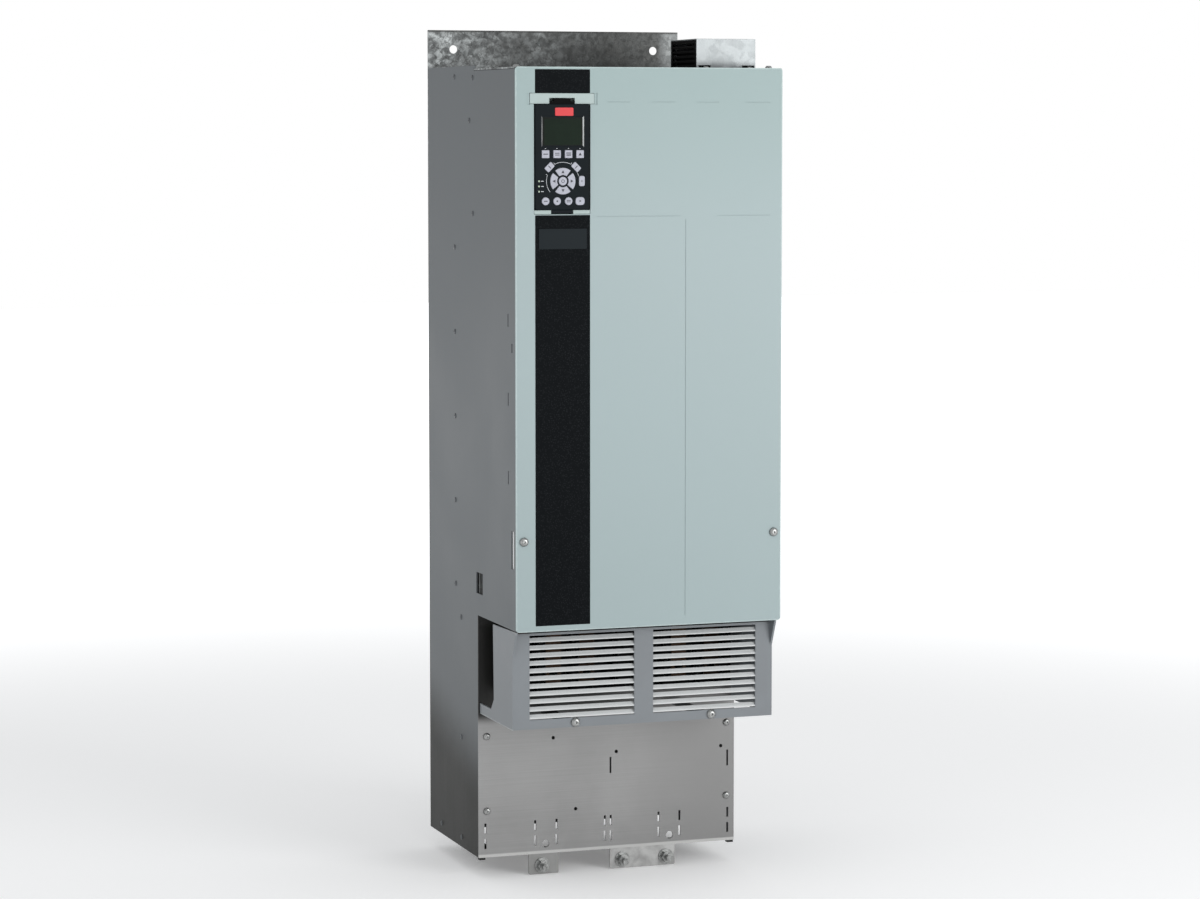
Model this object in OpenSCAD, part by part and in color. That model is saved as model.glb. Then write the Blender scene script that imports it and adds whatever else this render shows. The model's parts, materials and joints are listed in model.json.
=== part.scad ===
// Variable frequency drive: a chassis-size power converter that hangs on a wall.
// An air duct with the heat sink runs up the back, the electronics sit in a
// chamber in front of it, and the power terminals are behind the lower cover.
// Frame: origin in the wall plane at the middle of the back panel's bottom
// edge; +X right as seen from the front, -Y towards the front, +Z up.

/* [Enclosure] */
// Width over the side panels
body_w = 350; // [350:5:425]
// Depth of the front chamber, from the duct's front face to the cover's face
chamber_d = 158; // [150:1:230]
// Height of the top plate's upper face
case_h = 1005; // [960:5:1210]
// Depth from the wall to the front face of the rear duct
duct_d = 217; // [180:1:265]
// Height of the lower edge of the front chamber
step_z = 313; // [300:1:340]
// Thickness of the folded sheet panels
sheet = 2; // [1.5:0.5:3]
// Thickness of the back panel
back_t = 2.5; // [2:0.5:4]
// Height of the side panels' rear edge above the top plate
side_lip = 4; // [2:0.5:8]
// Distance from the wall to the seam where the side lip ends
seam_y = 205; // [150:1:210]

/* [Wall mounting] */
// Height of the mounting flange above the top plate
flange_h = 54; // [45:1:80]
// Diameter of the mounting holes and width of the lower slots
mount_d = 11; // [9:0.5:14]
// Distance between the two mounting holes
mount_pitch = 280; // [240:5:320]
// Distance from the flange's top edge down to the mounting holes
mount_drop = 25; // [15:1:30]
// Length of the open slots in the back panel's bottom edge
mount_slot = 22; // [15:1:40]

/* [Front cover] */
// Thickness of the front cover's face
cover_t = 3; // [2:0.5:4]
// Radius of the front cover's corners
cover_r = 4; // [2:0.5:10]
// Depth of the turned-in edge behind the face
cover_lip = 12; // [8:1:13]
// Gap between the cover and the edges of the side panels
cover_gap = 0.5; // [0.3:0.1:1]
// Distance of each captive screw from the side of the drive
cover_screw_in = 10; // [9:0.5:11]
// Height of the captive screws above the cover's lower edge
cover_screw_z = 112; // [60:1:160]
// Width and depth of the lines pressed into the face
groove = [1.2, 0.5];
// Distance of the stripe's left edge from the left side of the drive
stripe_in = 25; // [20:0.5:35]
// Width of the dark stripe, which is also the keypad's column
stripe_w = 71; // [65:0.5:90]
// Thickness of the stripe's film
stripe_t = 0.8; // [0.6:0.1:1.2]
// Width, height and thickness of the blank name plate
name_size = [62, 25, 1];

/* [Terminal cover] */
// Height of the terminal cover
term_h = 124; // [110:1:130]
// Distance of its face behind the front cover's face
term_set = 23; // [15:1:30]
// Wall thickness of the terminal cover
term_t = 2.5; // [2:0.5:4]
// Depth of its side walls behind the face
term_side = 79; // [60:1:100]
// Height of the foot that reaches back to the duct
term_foot = 13; // [8:1:20]
// Distance from slat to slat
slat_pitch = 9.6; // [8:0.1:12]
// Width of one louvre block and of the web between the two
louvre_w = [138, 25];

/* [Keypad] */
// Height of the keypad
pad_h = 129; // [120:1:150]
// Depth of the keypad
pad_d = 20; // [18:1:24]
// Distance of the keypad's centre below the top plate
pad_drop = 109.8; // [95:0.1:130]
// How far the keypad's face stands in front of the cover
pad_proud = 2; // [0:0.5:4]
// Wall thickness of the keypad's shells
pad_wall = 2; // [1.5:0.1:2.5]
// Clearance between the keypad and its cradle
pad_gap = 0.4; // [0.3:0.1:0.8]
// How far the keys stand out of the keypad's face
key_proud = 1; // [0.6:0.1:1.5]
// Clearance round each key
key_gap = 0.35; // [0.3:0.05:0.5]
// Distance between neighbouring keys in the two rows of four
key_pitch = 14.8; // [13:0.1:16]
// Side of the square keys and diameter of the round ones
key_size = 9.6; // [8:0.1:11]
// Inner and outer radius of the four arrow keys
arrow_r = [7.4, 16.2];
// Width and height of the display window
window_size = [54, 37];

/* [Power parts] */
// Distance between neighbouring power terminals
term_pitch = 45; // [40:1:50]
// Width and thickness of the power bars
bar = [20, 5];
// Length of the heat sink
sink_h = 340; // [300:5:380]
// Thickness of the heat sink's base
sink_base = 12; // [8:1:16]
// Distance from fin to fin and thickness of a fin
fin = [8, 2.5];
// Diameter of a capacitor can
can_d = 66; // [50:1:72]
// Length of a capacitor can
can_l = 82; // [70:1:90]
// Space between the duct fan's rotor and the duct's walls
duct_fan_rim = 12.75; // [10:0.25:30]
// Diameter of the top fan's rotor
top_fan_d = 64; // [50:1:80]

/* [Hidden] */
$fn = 48;
half_w = body_w / 2;
in_w = half_w - sheet;
body_d = duct_d + chamber_d;
face_y = -body_d;
cover_back = face_y + cover_t;
panel_front = cover_back + cover_gap;
duct_face = -duct_d;
duct_back = duct_face + sheet;
side_top = case_h + side_lip;
flange_top = case_h + flange_h;
mount_z = flange_top - mount_drop;
seat = 0.3;

// Rails that carry the front cover
rail_t = 1.5;
rail_y = [panel_front + 5.5, panel_front + 41.5];
rail_flange_y = cover_back + cover_lip + 3;
rail_flange_w = 13.5;
rail_x = in_w - rail_t;

// Front cover
cover_bottom = step_z - 1;
lip_x = rail_x - 0.6;
screw_x = half_w - cover_screw_in;
screw_z = cover_bottom + cover_screw_z;
stripe_x0 = -half_w + stripe_in;
stripe_x1 = stripe_x0 + stripe_w;
stripe_sink = stripe_t - 0.2;
stripe_end = 7;
name_drop = 18;

// Keypad, cradle and the cover's cut-out
pad_w = stripe_w;
pad_x = (stripe_x0 + stripe_x1) / 2 - 0.5;
pad_z = case_h - pad_drop;
pad_face = face_y - pad_proud;
pad_top = pad_z + pad_h / 2;
pad_bottom = pad_z - pad_h / 2;
cradle_bar = [82.6, 12.6];
cradle_sill = 4.5;
cradle_wall = 5;
cut_gap = 0.5;
cradle_top = pad_top + pad_gap + cradle_bar[1];
cradle_low = pad_bottom - pad_gap - cradle_sill;
cradle_back = pad_face + pad_d + 12;
cradle_front = cover_back + 1;
bar_front = face_y + 0.4;
hook_w = 28;
latch_w = [32, 22];
latch_h = [3.6, 3.4];
pad_split = pad_face + 10;
board_y = pad_face + 5.6;
board_t = 1.6;
flange_t = 1;

// Key places, measured from the keypad's centre
soft_dz = 3.6;
pilot_dz = -53.7;
nav_dz = -29.3;
arrow_half = 38;
corner_key_r = 24.2;
info_dx = 24.5;
window_dz = 31.2;
lamp_dx = -30.5;
lamp_pitch = 6.3;
lamp_d = 2.4;

// Terminal cover
term_face = face_y + term_set;
term_x = half_w - 2;
term_top = step_z - 2;
term_bottom = term_top - term_h;
term_screw_x = 90.5;
term_screw_z = term_bottom + 6;
term_arm_w = 20;
louvre_z0 = term_bottom + 11.5;
slats = floor((term_h - 15.5) / slat_pitch);
ear_h = 34;
ear_d = 15;

// Duct front plate and ground tabs
plate_top = step_z - seat;
ground_x = [-89, 20.5, 80.5];
ground_z = -15.5;
tab_t = 3;
tab_reach = 27;
tab_up = 5;
tabs = [[-107, -66.5], [3.5, 93]];

// Hood and fan on the top plate
hood = [top_fan_d + 16, top_fan_d + 29, 38];
hood_x = in_w - 0.5 - hood[0];
hood_y = face_y + 85;
hood_t = 1.5;
top_fan_frame = [top_fan_d + 8, top_fan_d + 8, 25];
top_fan_x = hood_x + hood[0] / 2 + 1;
top_fan_y = hood_y + hood[1] / 2;

// Heat sink and modules
sink_z = step_z + 127;
sink_x = in_w - 5;
module_y = duct_back;
module_front = module_y - 30;
window_x = half_w - 15;
window_z = [sink_z + 15, sink_z + sink_h - 20];
igbt = [62, 122, 17];
igbt_pitch = 66;
igbt_x0 = -10;
igbt_z = sink_z + 30;
diode = [34, 94, 30];
term_mid = 85;
diode_z = window_z[1] - diode[1] - 16;
line_x = [for (i = [-1:1]) -term_mid + i * term_pitch];
motor_x = [for (i = [-1:1]) term_mid + i * term_pitch];
line_z0 = step_z - 90;
block_z = [step_z - 98, step_z - 13];
jog_z = [for (i = [0:2]) igbt_z - 62 + i * 24];
sensor_z = step_z + 27;

// Capacitors and the bars in front of them
can_pitch = [80, 85];
can_x = [for (i = [0:3]) (i - 1.5) * can_pitch[0]];
can_z = [case_h - 75, case_h - 75 - can_pitch[1]];
can_front = duct_face - can_l;
pole = 12;
bus_t = 1.5;
bus_gap = 2;
bus_minus = can_front - 3;
bus_plus = bus_minus - bus_t - bus_gap;
leg = 12;

// Boards
card_y = duct_face - 113;
card_z = [step_z + 27, step_z + 257];
card_x = in_w - 8;
post_d = 8;
post_x = card_x - 6;
tray_x1 = pad_x + 55;
tray_z = [igbt_z + 130, case_h - 15];
tray_y = max(cradle_back + 7, rail_flange_y + 19);
tray_t = 2;

// Duct fan
fan_z = step_z + 37;
fan_h = 50;
fan_y = (duct_back - back_t) / 2;
fan_shelf = 2;
duct_fan_d = -duct_back - back_t - 1 - 2 * duct_fan_rim;

KEYS = ["key_status", "key_quick_menu", "key_main_menu", "key_alarm_log",
    "key_back", "key_cancel", "key_info", "key_ok", "key_up", "key_down",
    "key_left", "key_right", "key_hand_on", "key_off", "key_auto_on",
    "key_reset"];

// ---- Helpers ----------------------------------------------------------

// Box between two opposite corners
module block(lo, hi) {
    translate(lo) cube(hi - lo);
}

// Stands a flat X-Z shape up in the frame, from y_back forwards by t
module slab_y(y_back, t) {
    translate([0, y_back, 0]) rotate([90, 0, 0]) linear_extrude(t) children();
}

// Stands a flat Y-Z shape up in the frame, from x0 to the right by t
module slab_x(x0, t) {
    translate([x0, 0, 0]) rotate([90, 0, 90]) linear_extrude(t) children();
}

// Round hole or post along Y at (x, z)
module round_y(x, z, d, y0, y1) {
    translate([x, y1, z]) rotate([90, 0, 0]) cylinder(d = d, h = y1 - y0);
}

// Round hole or post along X at (y, z)
module round_x(y, z, d, x0, x1) {
    translate([x0, y, z]) rotate([0, 90, 0]) cylinder(d = d, h = x1 - x0);
}

module rounded_rect(w, h, r) {
    square([w, h - 2 * r], center = true);
    square([w - 2 * r, h], center = true);
    for (sx = [-1, 1], sz = [-1, 1])
        translate([sx * (w / 2 - r), sz * (h / 2 - r)]) circle(r);
}

// Rounded rectangle between two corners
module rounded_window(x0, x1, z0, z1, r) {
    translate([(x0 + x1) / 2, (z0 + z1) / 2])
        rounded_rect(x1 - x0, z1 - z0, r);
}

// Pan-head screw standing on z = 0, with its shank below
module pan_screw(head_d, head_h, shank_d, shank_l) {
    difference() {
        union() {
            cylinder(d = head_d, h = head_h / 2);
            translate([0, 0, head_h / 2])
                cylinder(d1 = head_d, d2 = 0.66 * head_d, h = head_h / 2);
        }
        for (a = [0, 90])
            rotate([0, 0, a]) translate([-0.26 * head_d, -0.6, 0.45 * head_h])
                cube([0.52 * head_d, 1.2, head_h]);
    }
    translate([0, 0, -shank_l]) cylinder(d = shank_d, h = shank_l + 0.01);
}

module screw_front(x, y, z, head_d, head_h, shank_d, shank_l) {
    translate([x, y, z]) rotate([90, 0, 0])
        pan_screw(head_d, head_h, shank_d, shank_l);
}

// ---- Places shared by the screws and the panels they hold -------------

screw_d = 4;
screw_free = 4.6;
rivet_pitch = (case_h - step_z - 38) / 6;
function side_rivets() = concat(
    [for (k = [0, 1, 2, 3, 4, 6]) [-120, step_z + 29 + k * rivet_pitch]],
    [[-199, case_h - 11], [-199, case_h - 182], [-185, case_h - 65],
     [-143, step_z - 12], [-143, step_z / 2 - 12], [-143, 13], [-53, 14]]);
plate_screws = [for (sx = [-1, 1], z = [60, step_z / 2])
    [sx * (half_w - 11), z]];
top_screws = [for (x = [-160, -120, -97, -62, 62, 120, 160]) [x, -25]];
front_top_screws = [for (sx = [-1, 1]) [sx * (half_w - 9), panel_front + 21]];
hood_screws = [for (x = [11, 70]) [hood_x + x, hood_y - 5]];

// ---- Enclosure --------------------------------------------------------

// Wall plate with two holes in its flange and two slots open at the bottom
module back_panel() {
    color("#8c9092") slab_y(0, back_t) difference() {
        translate([-half_w, 0]) square([body_w, flange_top]);
        for (sx = [-1, 1]) translate([sx * mount_pitch / 2, 0]) {
            translate([0, mount_z]) circle(d = mount_d);
            translate([-mount_d / 2, -1])
                square([mount_d, mount_slot + 1 - mount_d / 2]);
            translate([0, mount_slot - mount_d / 2]) circle(d = mount_d);
        }
    }
}

module side_outline() {
    polygon([[-back_t, 0], [-back_t, side_top], [-seam_y, side_top],
        [-seam_y, case_h - sheet - 0.5], [panel_front, case_h - sheet - 0.5],
        [panel_front, step_z], [duct_back, step_z], [duct_back, 0]]);
}

// Holes in a side panel: rivets, three tab slots, a catch slot, a tall
// slot beside the captive screw and a square one above the step
module side_cuts() {
    for (p = side_rivets()) translate(p) circle(d = screw_free);
    for (k = [0:2]) translate([panel_front + 26, step_z + 180 + 97 * k])
        square([3, 16]);
    translate([panel_front + 10, step_z + 343]) square([4, 11]);
    translate([panel_front + 6, screw_z - 35]) square([10, 47]);
    translate([duct_face - 20, step_z + 28]) square([27, 27]);
}

module side_panel(x0) {
    color("#8f9494") slab_x(x0, sheet) difference() {
        side_outline();
        side_cuts();
    }
}

module left_side_panel() { side_panel(-half_w); }
module right_side_panel() { side_panel(in_w); }

// Top plate: narrower between the side lips, with the duct's outlet slots
module top_plate() {
    slot_pitch = 12;
    rows = floor((duct_d - 60) / slot_pitch);
    color("#9a9e9e") difference() {
        union() {
            block([-in_w, -seam_y, case_h - sheet], [in_w, -back_t, case_h]);
            block([-half_w, panel_front, case_h - sheet],
                [half_w, -seam_y, case_h]);
        }
        for (i = [0:rows - 1], sx = [-1, 1])
            translate([sx * (in_w / 2 - 4), -45 - i * slot_pitch, case_h])
                cube([in_w - 40, 6, 3 * sheet], center = true);
        translate([top_fan_x, top_fan_y, case_h - 2 * sheet])
            cylinder(d = top_fan_d + 2, h = 3 * sheet);
        for (p = concat(top_screws, front_top_screws, hood_screws))
            translate([p[0], p[1], case_h - 2 * sheet])
                cylinder(d = screw_free, h = 3 * sheet);
    }
}

// Bottom of the duct: a frame round the air inlet
module bottom_plate() {
    rim = 30;
    color("#8c9090") difference() {
        block([-in_w, duct_back, 0], [in_w, -back_t, sheet]);
        block([-in_w + rim, duct_back + rim, -1],
            [in_w - rim, -back_t - rim, sheet + 1]);
        for (t = tabs)
            block([t[0] - seat, duct_back - 1, -1],
                [t[1] + seat, duct_back + tab_t + seat, sheet + 1]);
        for (sx = [-1, 1])
            block([sx * mount_pitch / 2 - mount_d, -back_t - 12, -1],
                [sx * mount_pitch / 2 + mount_d, 0, sheet + 1]);
    }
}

// Pairs of keyed slots and small holes in the duct's lower front plate
module plate_cuts() {
    for (p = plate_screws) translate(p) circle(d = screw_free);
    for (sx = [-1, 1]) translate([sx * 85, 12.5]) circle(d = 9.6);
    for (x = [4, 70, 99, half_w - 9], sx = [-1, 1], z = [11, 31])
        translate([sx * x - 1.4, z]) square([2.8, 13]);
    for (p = [[-74.4, 149.7], [-44, 55.4], [11.6, 126.8],
        [half_w - 18.5, 125.7]]) translate(p) circle(d = 4.6);
    for (x = [3.6, half_w - 9.4]) translate([x - 1.2, 99]) square([2.4, 21]);
}

// Lower front plate with the two welded arms that hold the terminal cover
module duct_front_plate() {
    color("#a5a59f") difference() {
        union() {
            slab_y(duct_back, sheet) difference() {
                translate([-half_w, 0]) square([body_w, plate_top]);
                plate_cuts();
            }
            for (sx = [-1, 1]) {
                block([sx * term_screw_x - term_arm_w / 2,
                    term_face + term_t + seat, term_bottom + 1],
                    [sx * term_screw_x + term_arm_w / 2, duct_face,
                    term_bottom + 1 + sheet]);
                block([sx * term_screw_x - term_arm_w / 2,
                    term_face + term_t + seat, term_bottom + 1],
                    [sx * term_screw_x + term_arm_w / 2,
                    term_face + term_t + seat + sheet, louvre_z0 - 0.5]);
            }
        }
        for (sx = [-1, 1])
            round_y(sx * term_screw_x, term_screw_z, 6,
                term_face - 1, term_face + 3 * term_t + 1);
    }
}

// Wall between the duct and the electronics, open over the heat sink
module base_plate() {
    color("#a8aaa6") slab_y(duct_back, sheet) difference() {
        translate([-in_w, step_z]) square([2 * in_w, case_h - sheet - step_z]);
        rounded_window(-window_x, window_x, window_z[0], window_z[1], 4);
    }
}

module ground_tabs() {
    color("#a3a3a0") slab_y(duct_back + tab_t, tab_t) difference() {
        for (t = tabs) rounded_window(t[0], t[1], -tab_reach, tab_up, 2);
        for (x = ground_x) translate([x, ground_z]) circle(d = 8.4);
    }
}

// Hexagon bolt through the tab, with a washer and a nut in front
module ground_stud(x) {
    washer_t = 1.6;
    nut_h = 6.5;
    head_h = 5.3;
    stud_free = 7.9;
    translate([x, duct_back, ground_z]) rotate([90, 0, 0]) {
        cylinder(d = 20, h = washer_t);
        translate([0, 0, washer_t]) cylinder(d = 15, h = nut_h, $fn = 6);
        translate([0, 0, -tab_t - 0.01])
            cylinder(d = 8, h = tab_t + washer_t + nut_h + stud_free + 0.01);
        translate([0, 0, -tab_t - head_h]) cylinder(d = 15, h = head_h, $fn = 6);
    }
}

module ground_studs() {
    color("#c9c9c4") for (x = ground_x) ground_stud(x);
}

module corner_blocks() {
    color("#1c1c1c") for (sx = [-1, 1])
        block([sx * (half_w - 5) - 4, duct_face, -3],
            [sx * (half_w - 5) + 4, duct_face + 8, 0]);
}

// Sheet hood over the top fan, open below and on its left
module fan_hood() {
    color("#c4c8c8") difference() {
        block([hood_x, hood_y, case_h],
            [hood_x + hood[0], hood_y + hood[1], case_h + hood[2]]);
        block([hood_x - 1, hood_y + hood_t, case_h - 1],
            [hood_x + hood[0] - hood_t, hood_y + hood[1] - hood_t,
            case_h + hood[2] - hood_t]);
        for (p = hood_screws)
            block([p[0] - 8, hood_y - 1, case_h - 1],
                [p[0] + 8, hood_y + hood_t + 1, case_h + 4.5]);
    }
}

module hood_vent() {
    lo = hood_y + hood_t + seat;
    hi = hood_y + hood[1] - hood_t - seat;
    top = case_h + hood[2] - hood_t - seat;
    color("#101010") difference() {
        block([hood_x, lo, case_h], [hood_x + 2, hi, top]);
        for (i = [0:4])
            block([hood_x - 1, lo + 6, case_h + 5 + 6 * i],
                [hood_x + 3, hi - 6, case_h + 8 + 6 * i]);
    }
}

// Rivets in the sides and screws in the duct plate, top plate and hood
module panel_screws() {
    color("#b5b5b0") {
        for (p = side_rivets()) {
            translate([-half_w, p[0], p[1]]) rotate([0, -90, 0])
                pan_screw(7, 1.2, screw_d, sheet + 0.5);
            translate([half_w, p[0], p[1]]) rotate([0, 90, 0])
                pan_screw(7, 1.2, screw_d, sheet + 0.5);
        }
        for (p = plate_screws)
            screw_front(p[0], duct_face, p[1], 9.5, 3, screw_d, sheet + 5);
        for (p = concat(front_top_screws, hood_screws))
            translate([p[0], p[1], case_h])
                pan_screw(8.5, 3.2, screw_d, sheet + 4);
        for (p = top_screws)
            translate([p[0], p[1], case_h])
                pan_screw(9, 5.5, screw_d, sheet + 4);
    }
}

// Two bent rails inside the side panels that take the cover's screws
module cover_rails() {
    z0 = step_z + 4;
    z1 = case_h - sheet - 1;
    color("#d2d4d2") for (m = [0, 1]) mirror([m, 0, 0]) difference() {
        union() {
            block([rail_x, rail_y[0], z0], [in_w, rail_y[1], z1]);
            block([rail_x - rail_flange_w, rail_flange_y, z0],
                [rail_x, rail_flange_y + rail_t, z1]);
        }
        for (p = side_rivets())
            round_x(p[0], p[1], screw_free + 2, rail_x - 1, in_w + 1);
        round_y(screw_x, screw_z, 6, rail_flange_y - 1,
            rail_flange_y + rail_t + 1);
    }
}

// ---- Front cover ------------------------------------------------------

// Outline of the cradle that shows through the front cover
module cradle_outline(gap) {
    rounded_window(pad_x - pad_w / 2 - pad_gap - gap,
        pad_x + pad_w / 2 + pad_gap + gap, cradle_low - gap,
        pad_top + pad_gap + 1, 1);
    rounded_window(pad_x - cradle_bar[0] / 2 - gap,
        pad_x + cradle_bar[0] / 2 + gap, pad_top + pad_gap - gap,
        cradle_top + gap, 1);
}

// Short pressed lines across the face and one long one down it
module face_grooves() {
    split_x = 45.5;
    for (dash = [[-56, -28], [2, 31], [60, 90], [124, 158]])
        translate([dash[0], case_h - 43]) square([dash[1] - dash[0], groove[0]]);
    for (dash = [[-70, 39], [88, 158]])
        translate([dash[0], cradle_low - 4]) square([dash[1] - dash[0], groove[0]]);
    translate([split_x, cover_bottom + 12])
        square([groove[0], cradle_low - 8 - cover_bottom - 12]);
}

module stripe_outline() {
    rounded_window(stripe_x0, stripe_x1, cradle_top + cut_gap,
        case_h - 3, 0.8);
    rounded_window(stripe_x0, stripe_x1, cover_bottom + stripe_end,
        cradle_low - cut_gap - 1, 0.8);
}

module front_cover() {
    color("#adc1c0") difference() {
        union() {
            slab_y(cover_back, cover_t) rounded_window(-half_w, half_w,
                cover_bottom, case_h, cover_r);
            slab_y(cover_back + cover_lip, cover_lip + 0.01) difference() {
                rounded_window(-lip_x, lip_x, cover_bottom + 3,
                    case_h - sheet - 1, 2);
                rounded_window(-lip_x + 2, lip_x - 2, cover_bottom + 5,
                    case_h - sheet - 3, 1);
            }
        }
        slab_y(cover_back + cover_lip + 1, body_d) cradle_outline(cut_gap);
        slab_y(face_y + groove[1], 5) face_grooves();
        slab_y(face_y + stripe_sink, 5) stripe_outline();
        for (sx = [-1, 1])
            round_y(sx * screw_x, screw_z, 5.4, face_y - 1, cover_back + 1);
    }
}

module front_stripe() {
    color("#202226") slab_y(face_y + stripe_sink, stripe_t) stripe_outline();
}

module name_plate() {
    z1 = cradle_low - name_drop;
    color("#2c3038") slab_y(face_y + stripe_sink - stripe_t, name_size[2])
        rounded_window(pad_x + 0.5 - name_size[0] / 2,
            pad_x + 0.5 + name_size[0] / 2, z1 - name_size[1], z1, 1);
}

module cover_screws() {
    color("#9aa3a3") for (sx = [-1, 1])
        screw_front(sx * screw_x, face_y, screw_z, 11.5, 3.5, 5,
            cover_t + cover_lip + 7);
}

// ---- Terminal cover ---------------------------------------------------

// Left side wall, cut back over its foot so that cables can come in
module term_side_outline() {
    rear = term_face + term_side;
    polygon([[term_face, term_bottom], [duct_face - seat, term_bottom],
        [duct_face - seat, term_bottom + term_foot],
        [rear + 9, term_bottom + term_foot],
        [rear - 3, term_bottom + term_foot + 14], [rear, term_top - 2],
        [term_face - ear_d, term_top], [term_face, term_top - ear_h]]);
}

// Right side wall, closed back to the duct
module term_wall_outline() {
    polygon([[term_face, term_bottom], [duct_face - seat, term_bottom],
        [duct_face - seat, term_top - 2],
        [term_face - ear_d, term_top], [term_face, term_top - ear_h]]);
}

// One slat, leaning back as it rises
module slat(x0, w, z) {
    y0 = term_face + 0.4;
    slab_x(x0, w) polygon([[y0, z], [y0, z + 1.6],
        [y0 + 5, z + slat_pitch - 3.6], [y0 + 5, z + slat_pitch - 5.4]]);
}

module terminal_cover() {
    z1 = louvre_z0 + slats * slat_pitch;
    color("#989fa0") {
        slab_y(term_face + term_t, term_t) difference() {
            translate([-term_x, term_bottom])
                square([2 * term_x, term_h - 4]);
            for (sx = [-1, 1])
                translate([sx * (louvre_w[0] + louvre_w[1]) / 2,
                    (louvre_z0 + z1) / 2])
                    square([louvre_w[0], z1 - louvre_z0], center = true);
            for (sx = [-1, 1])
                translate([sx * term_screw_x, term_screw_z]) circle(d = 5.4);
        }
        slab_x(-term_x, term_t) term_side_outline();
        slab_x(term_x - term_t, term_t) term_wall_outline();
        for (sx = [-1, 1], i = [0:slats - 1])
            slat(sx * (louvre_w[0] + louvre_w[1]) / 2 - louvre_w[0] / 2 - 0.5,
                louvre_w[0] + 1, louvre_z0 + 0.6 + i * slat_pitch);
    }
}

module terminal_cover_screws() {
    color("#b0b4b2") for (sx = [-1, 1])
        screw_front(sx * term_screw_x, term_face, term_screw_z, 12, 3.5, 5,
            term_t + sheet + 6);
}

// ---- Keypad -----------------------------------------------------------

// Cradle: a pocket behind the cover with a bar and a sill that show
module lcp_cradle() {
    x0 = pad_x - pad_w / 2 - pad_gap;
    x1 = pad_x + pad_w / 2 + pad_gap;
    color("#b6c8c6") difference() {
        union() {
            block([x0 - cradle_wall, cradle_front, cradle_low],
                [x1 + cradle_wall, cradle_back, cradle_top - 0.6]);
            slab_y(cradle_front + 1.5, cradle_front - bar_front + 1.5)
                intersection() {
                    cradle_outline(0);
                    difference() {
                        translate([x0 - 10, cradle_low - 1])
                            square([x1 - x0 + 20, cradle_top - cradle_low + 2]);
                        translate([x0 - 20, pad_bottom - pad_gap])
                            square([x1 - x0 + 40, pad_h + 2 * pad_gap]);
                    }
                }
        }
        block([x0, face_y - 5, pad_bottom - pad_gap],
            [x1, cradle_back - 2, pad_top + pad_gap]);
        block([pad_x - hook_w / 2 - pad_gap, face_y - 5, cradle_low - 1],
            [pad_x + hook_w / 2 + pad_gap, pad_face + pad_d + pad_gap, pad_z]);
        block([pad_x - latch_w[0] / 2 - 0.5, face_y - 5, pad_z],
            [pad_x + latch_w[0] / 2 + 0.5, pad_split + 0.5,
            pad_top + latch_h[0] + latch_h[1] + 0.5]);
        block([pad_x - 18, cradle_back - 3, pad_z - 20],
            [pad_x + 18, cradle_back + 1, pad_z + 5]);
    }
}

function quad_x(i) = (i - 1.5) * key_pitch;

// Flat outline of one key, about the keypad's centre; g widens it
module key_outline(i, g) {
    if (i < 4)
        translate([quad_x(i), soft_dz])
            rounded_rect(key_size + 2 * g, key_size + 2 * g, 0.8 + g);
    else if (i < 6)
        translate([0, nav_dz]) rotate(i == 4 ? 135 : 45)
            translate([corner_key_r, 0])
                rounded_rect(7.6 + 2 * g, 11.6 + 2 * g, 1.4 + g);
    else if (i == 6)
        translate([info_dx, nav_dz])
            rounded_rect(7.4 + 2 * g, 12.6 + 2 * g, 2.4 + g);
    else if (i == 7)
        translate([0, nav_dz]) circle(5.3 + g);
    else if (i < 12)
        translate([0, nav_dz]) rotate([90, 270, 180, 0][i - 8])
            arrow_outline(g);
    else if (i < 15)
        translate([quad_x(i - 12), pilot_dz]) circle(key_size / 2 + g);
    else
        translate([quad_x(3), pilot_dz])
            rounded_rect(key_size + 2 + 2 * g, key_size + 2 * g, 3.6 + g);
}

// Ring sector that points along +X
module arrow_outline(g) {
    far = 3 * arrow_r[1];
    reach = g / sin(arrow_half);
    intersection() {
        difference() {
            circle(arrow_r[1] + g);
            circle(arrow_r[0] - g);
        }
        translate([-reach, 0]) polygon([[0, 0],
            [far, far * tan(arrow_half)], [far, -far * tan(arrow_half)]]);
    }
}

// A key: its cap stands out of the face, its flange stays behind it
module key_cap(i) {
    color("#c3c5d2") translate([pad_x, 0, pad_z]) {
        slab_y(pad_face + pad_wall + seat + 0.01, pad_wall + seat + key_proud)
            key_outline(i, 0);
        slab_y(pad_face + pad_wall + seat + flange_t, flange_t)
            key_outline(i, 0.7);
    }
}

module lcp_housing() {
    color("#3b4048") difference() {
        slab_y(pad_split, pad_split - pad_face) translate([pad_x, pad_z])
            rounded_rect(pad_w, pad_h, 3);
        slab_y(pad_split + 1, pad_split + 1 - pad_face - pad_wall)
            translate([pad_x, pad_z])
                rounded_rect(pad_w - 2 * pad_wall, pad_h - 2 * pad_wall, 2);
        slab_y(pad_split, 30) translate([pad_x, pad_z]) {
            for (i = [0:len(KEYS) - 1]) key_outline(i, key_gap);
            translate([0, window_dz])
                rounded_rect(window_size[0], window_size[1], 1);
            for (i = [0:2]) translate([lamp_dx, nav_dz - i * lamp_pitch])
                circle(d = lamp_d + 0.2);
        }
        block([pad_x - latch_w[0] / 2 - 0.4, pad_face + 1,
            pad_top - pad_wall - 3], [pad_x + latch_w[0] / 2 + 0.4,
            pad_split + 1, pad_top + 1]);
    }
}

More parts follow.
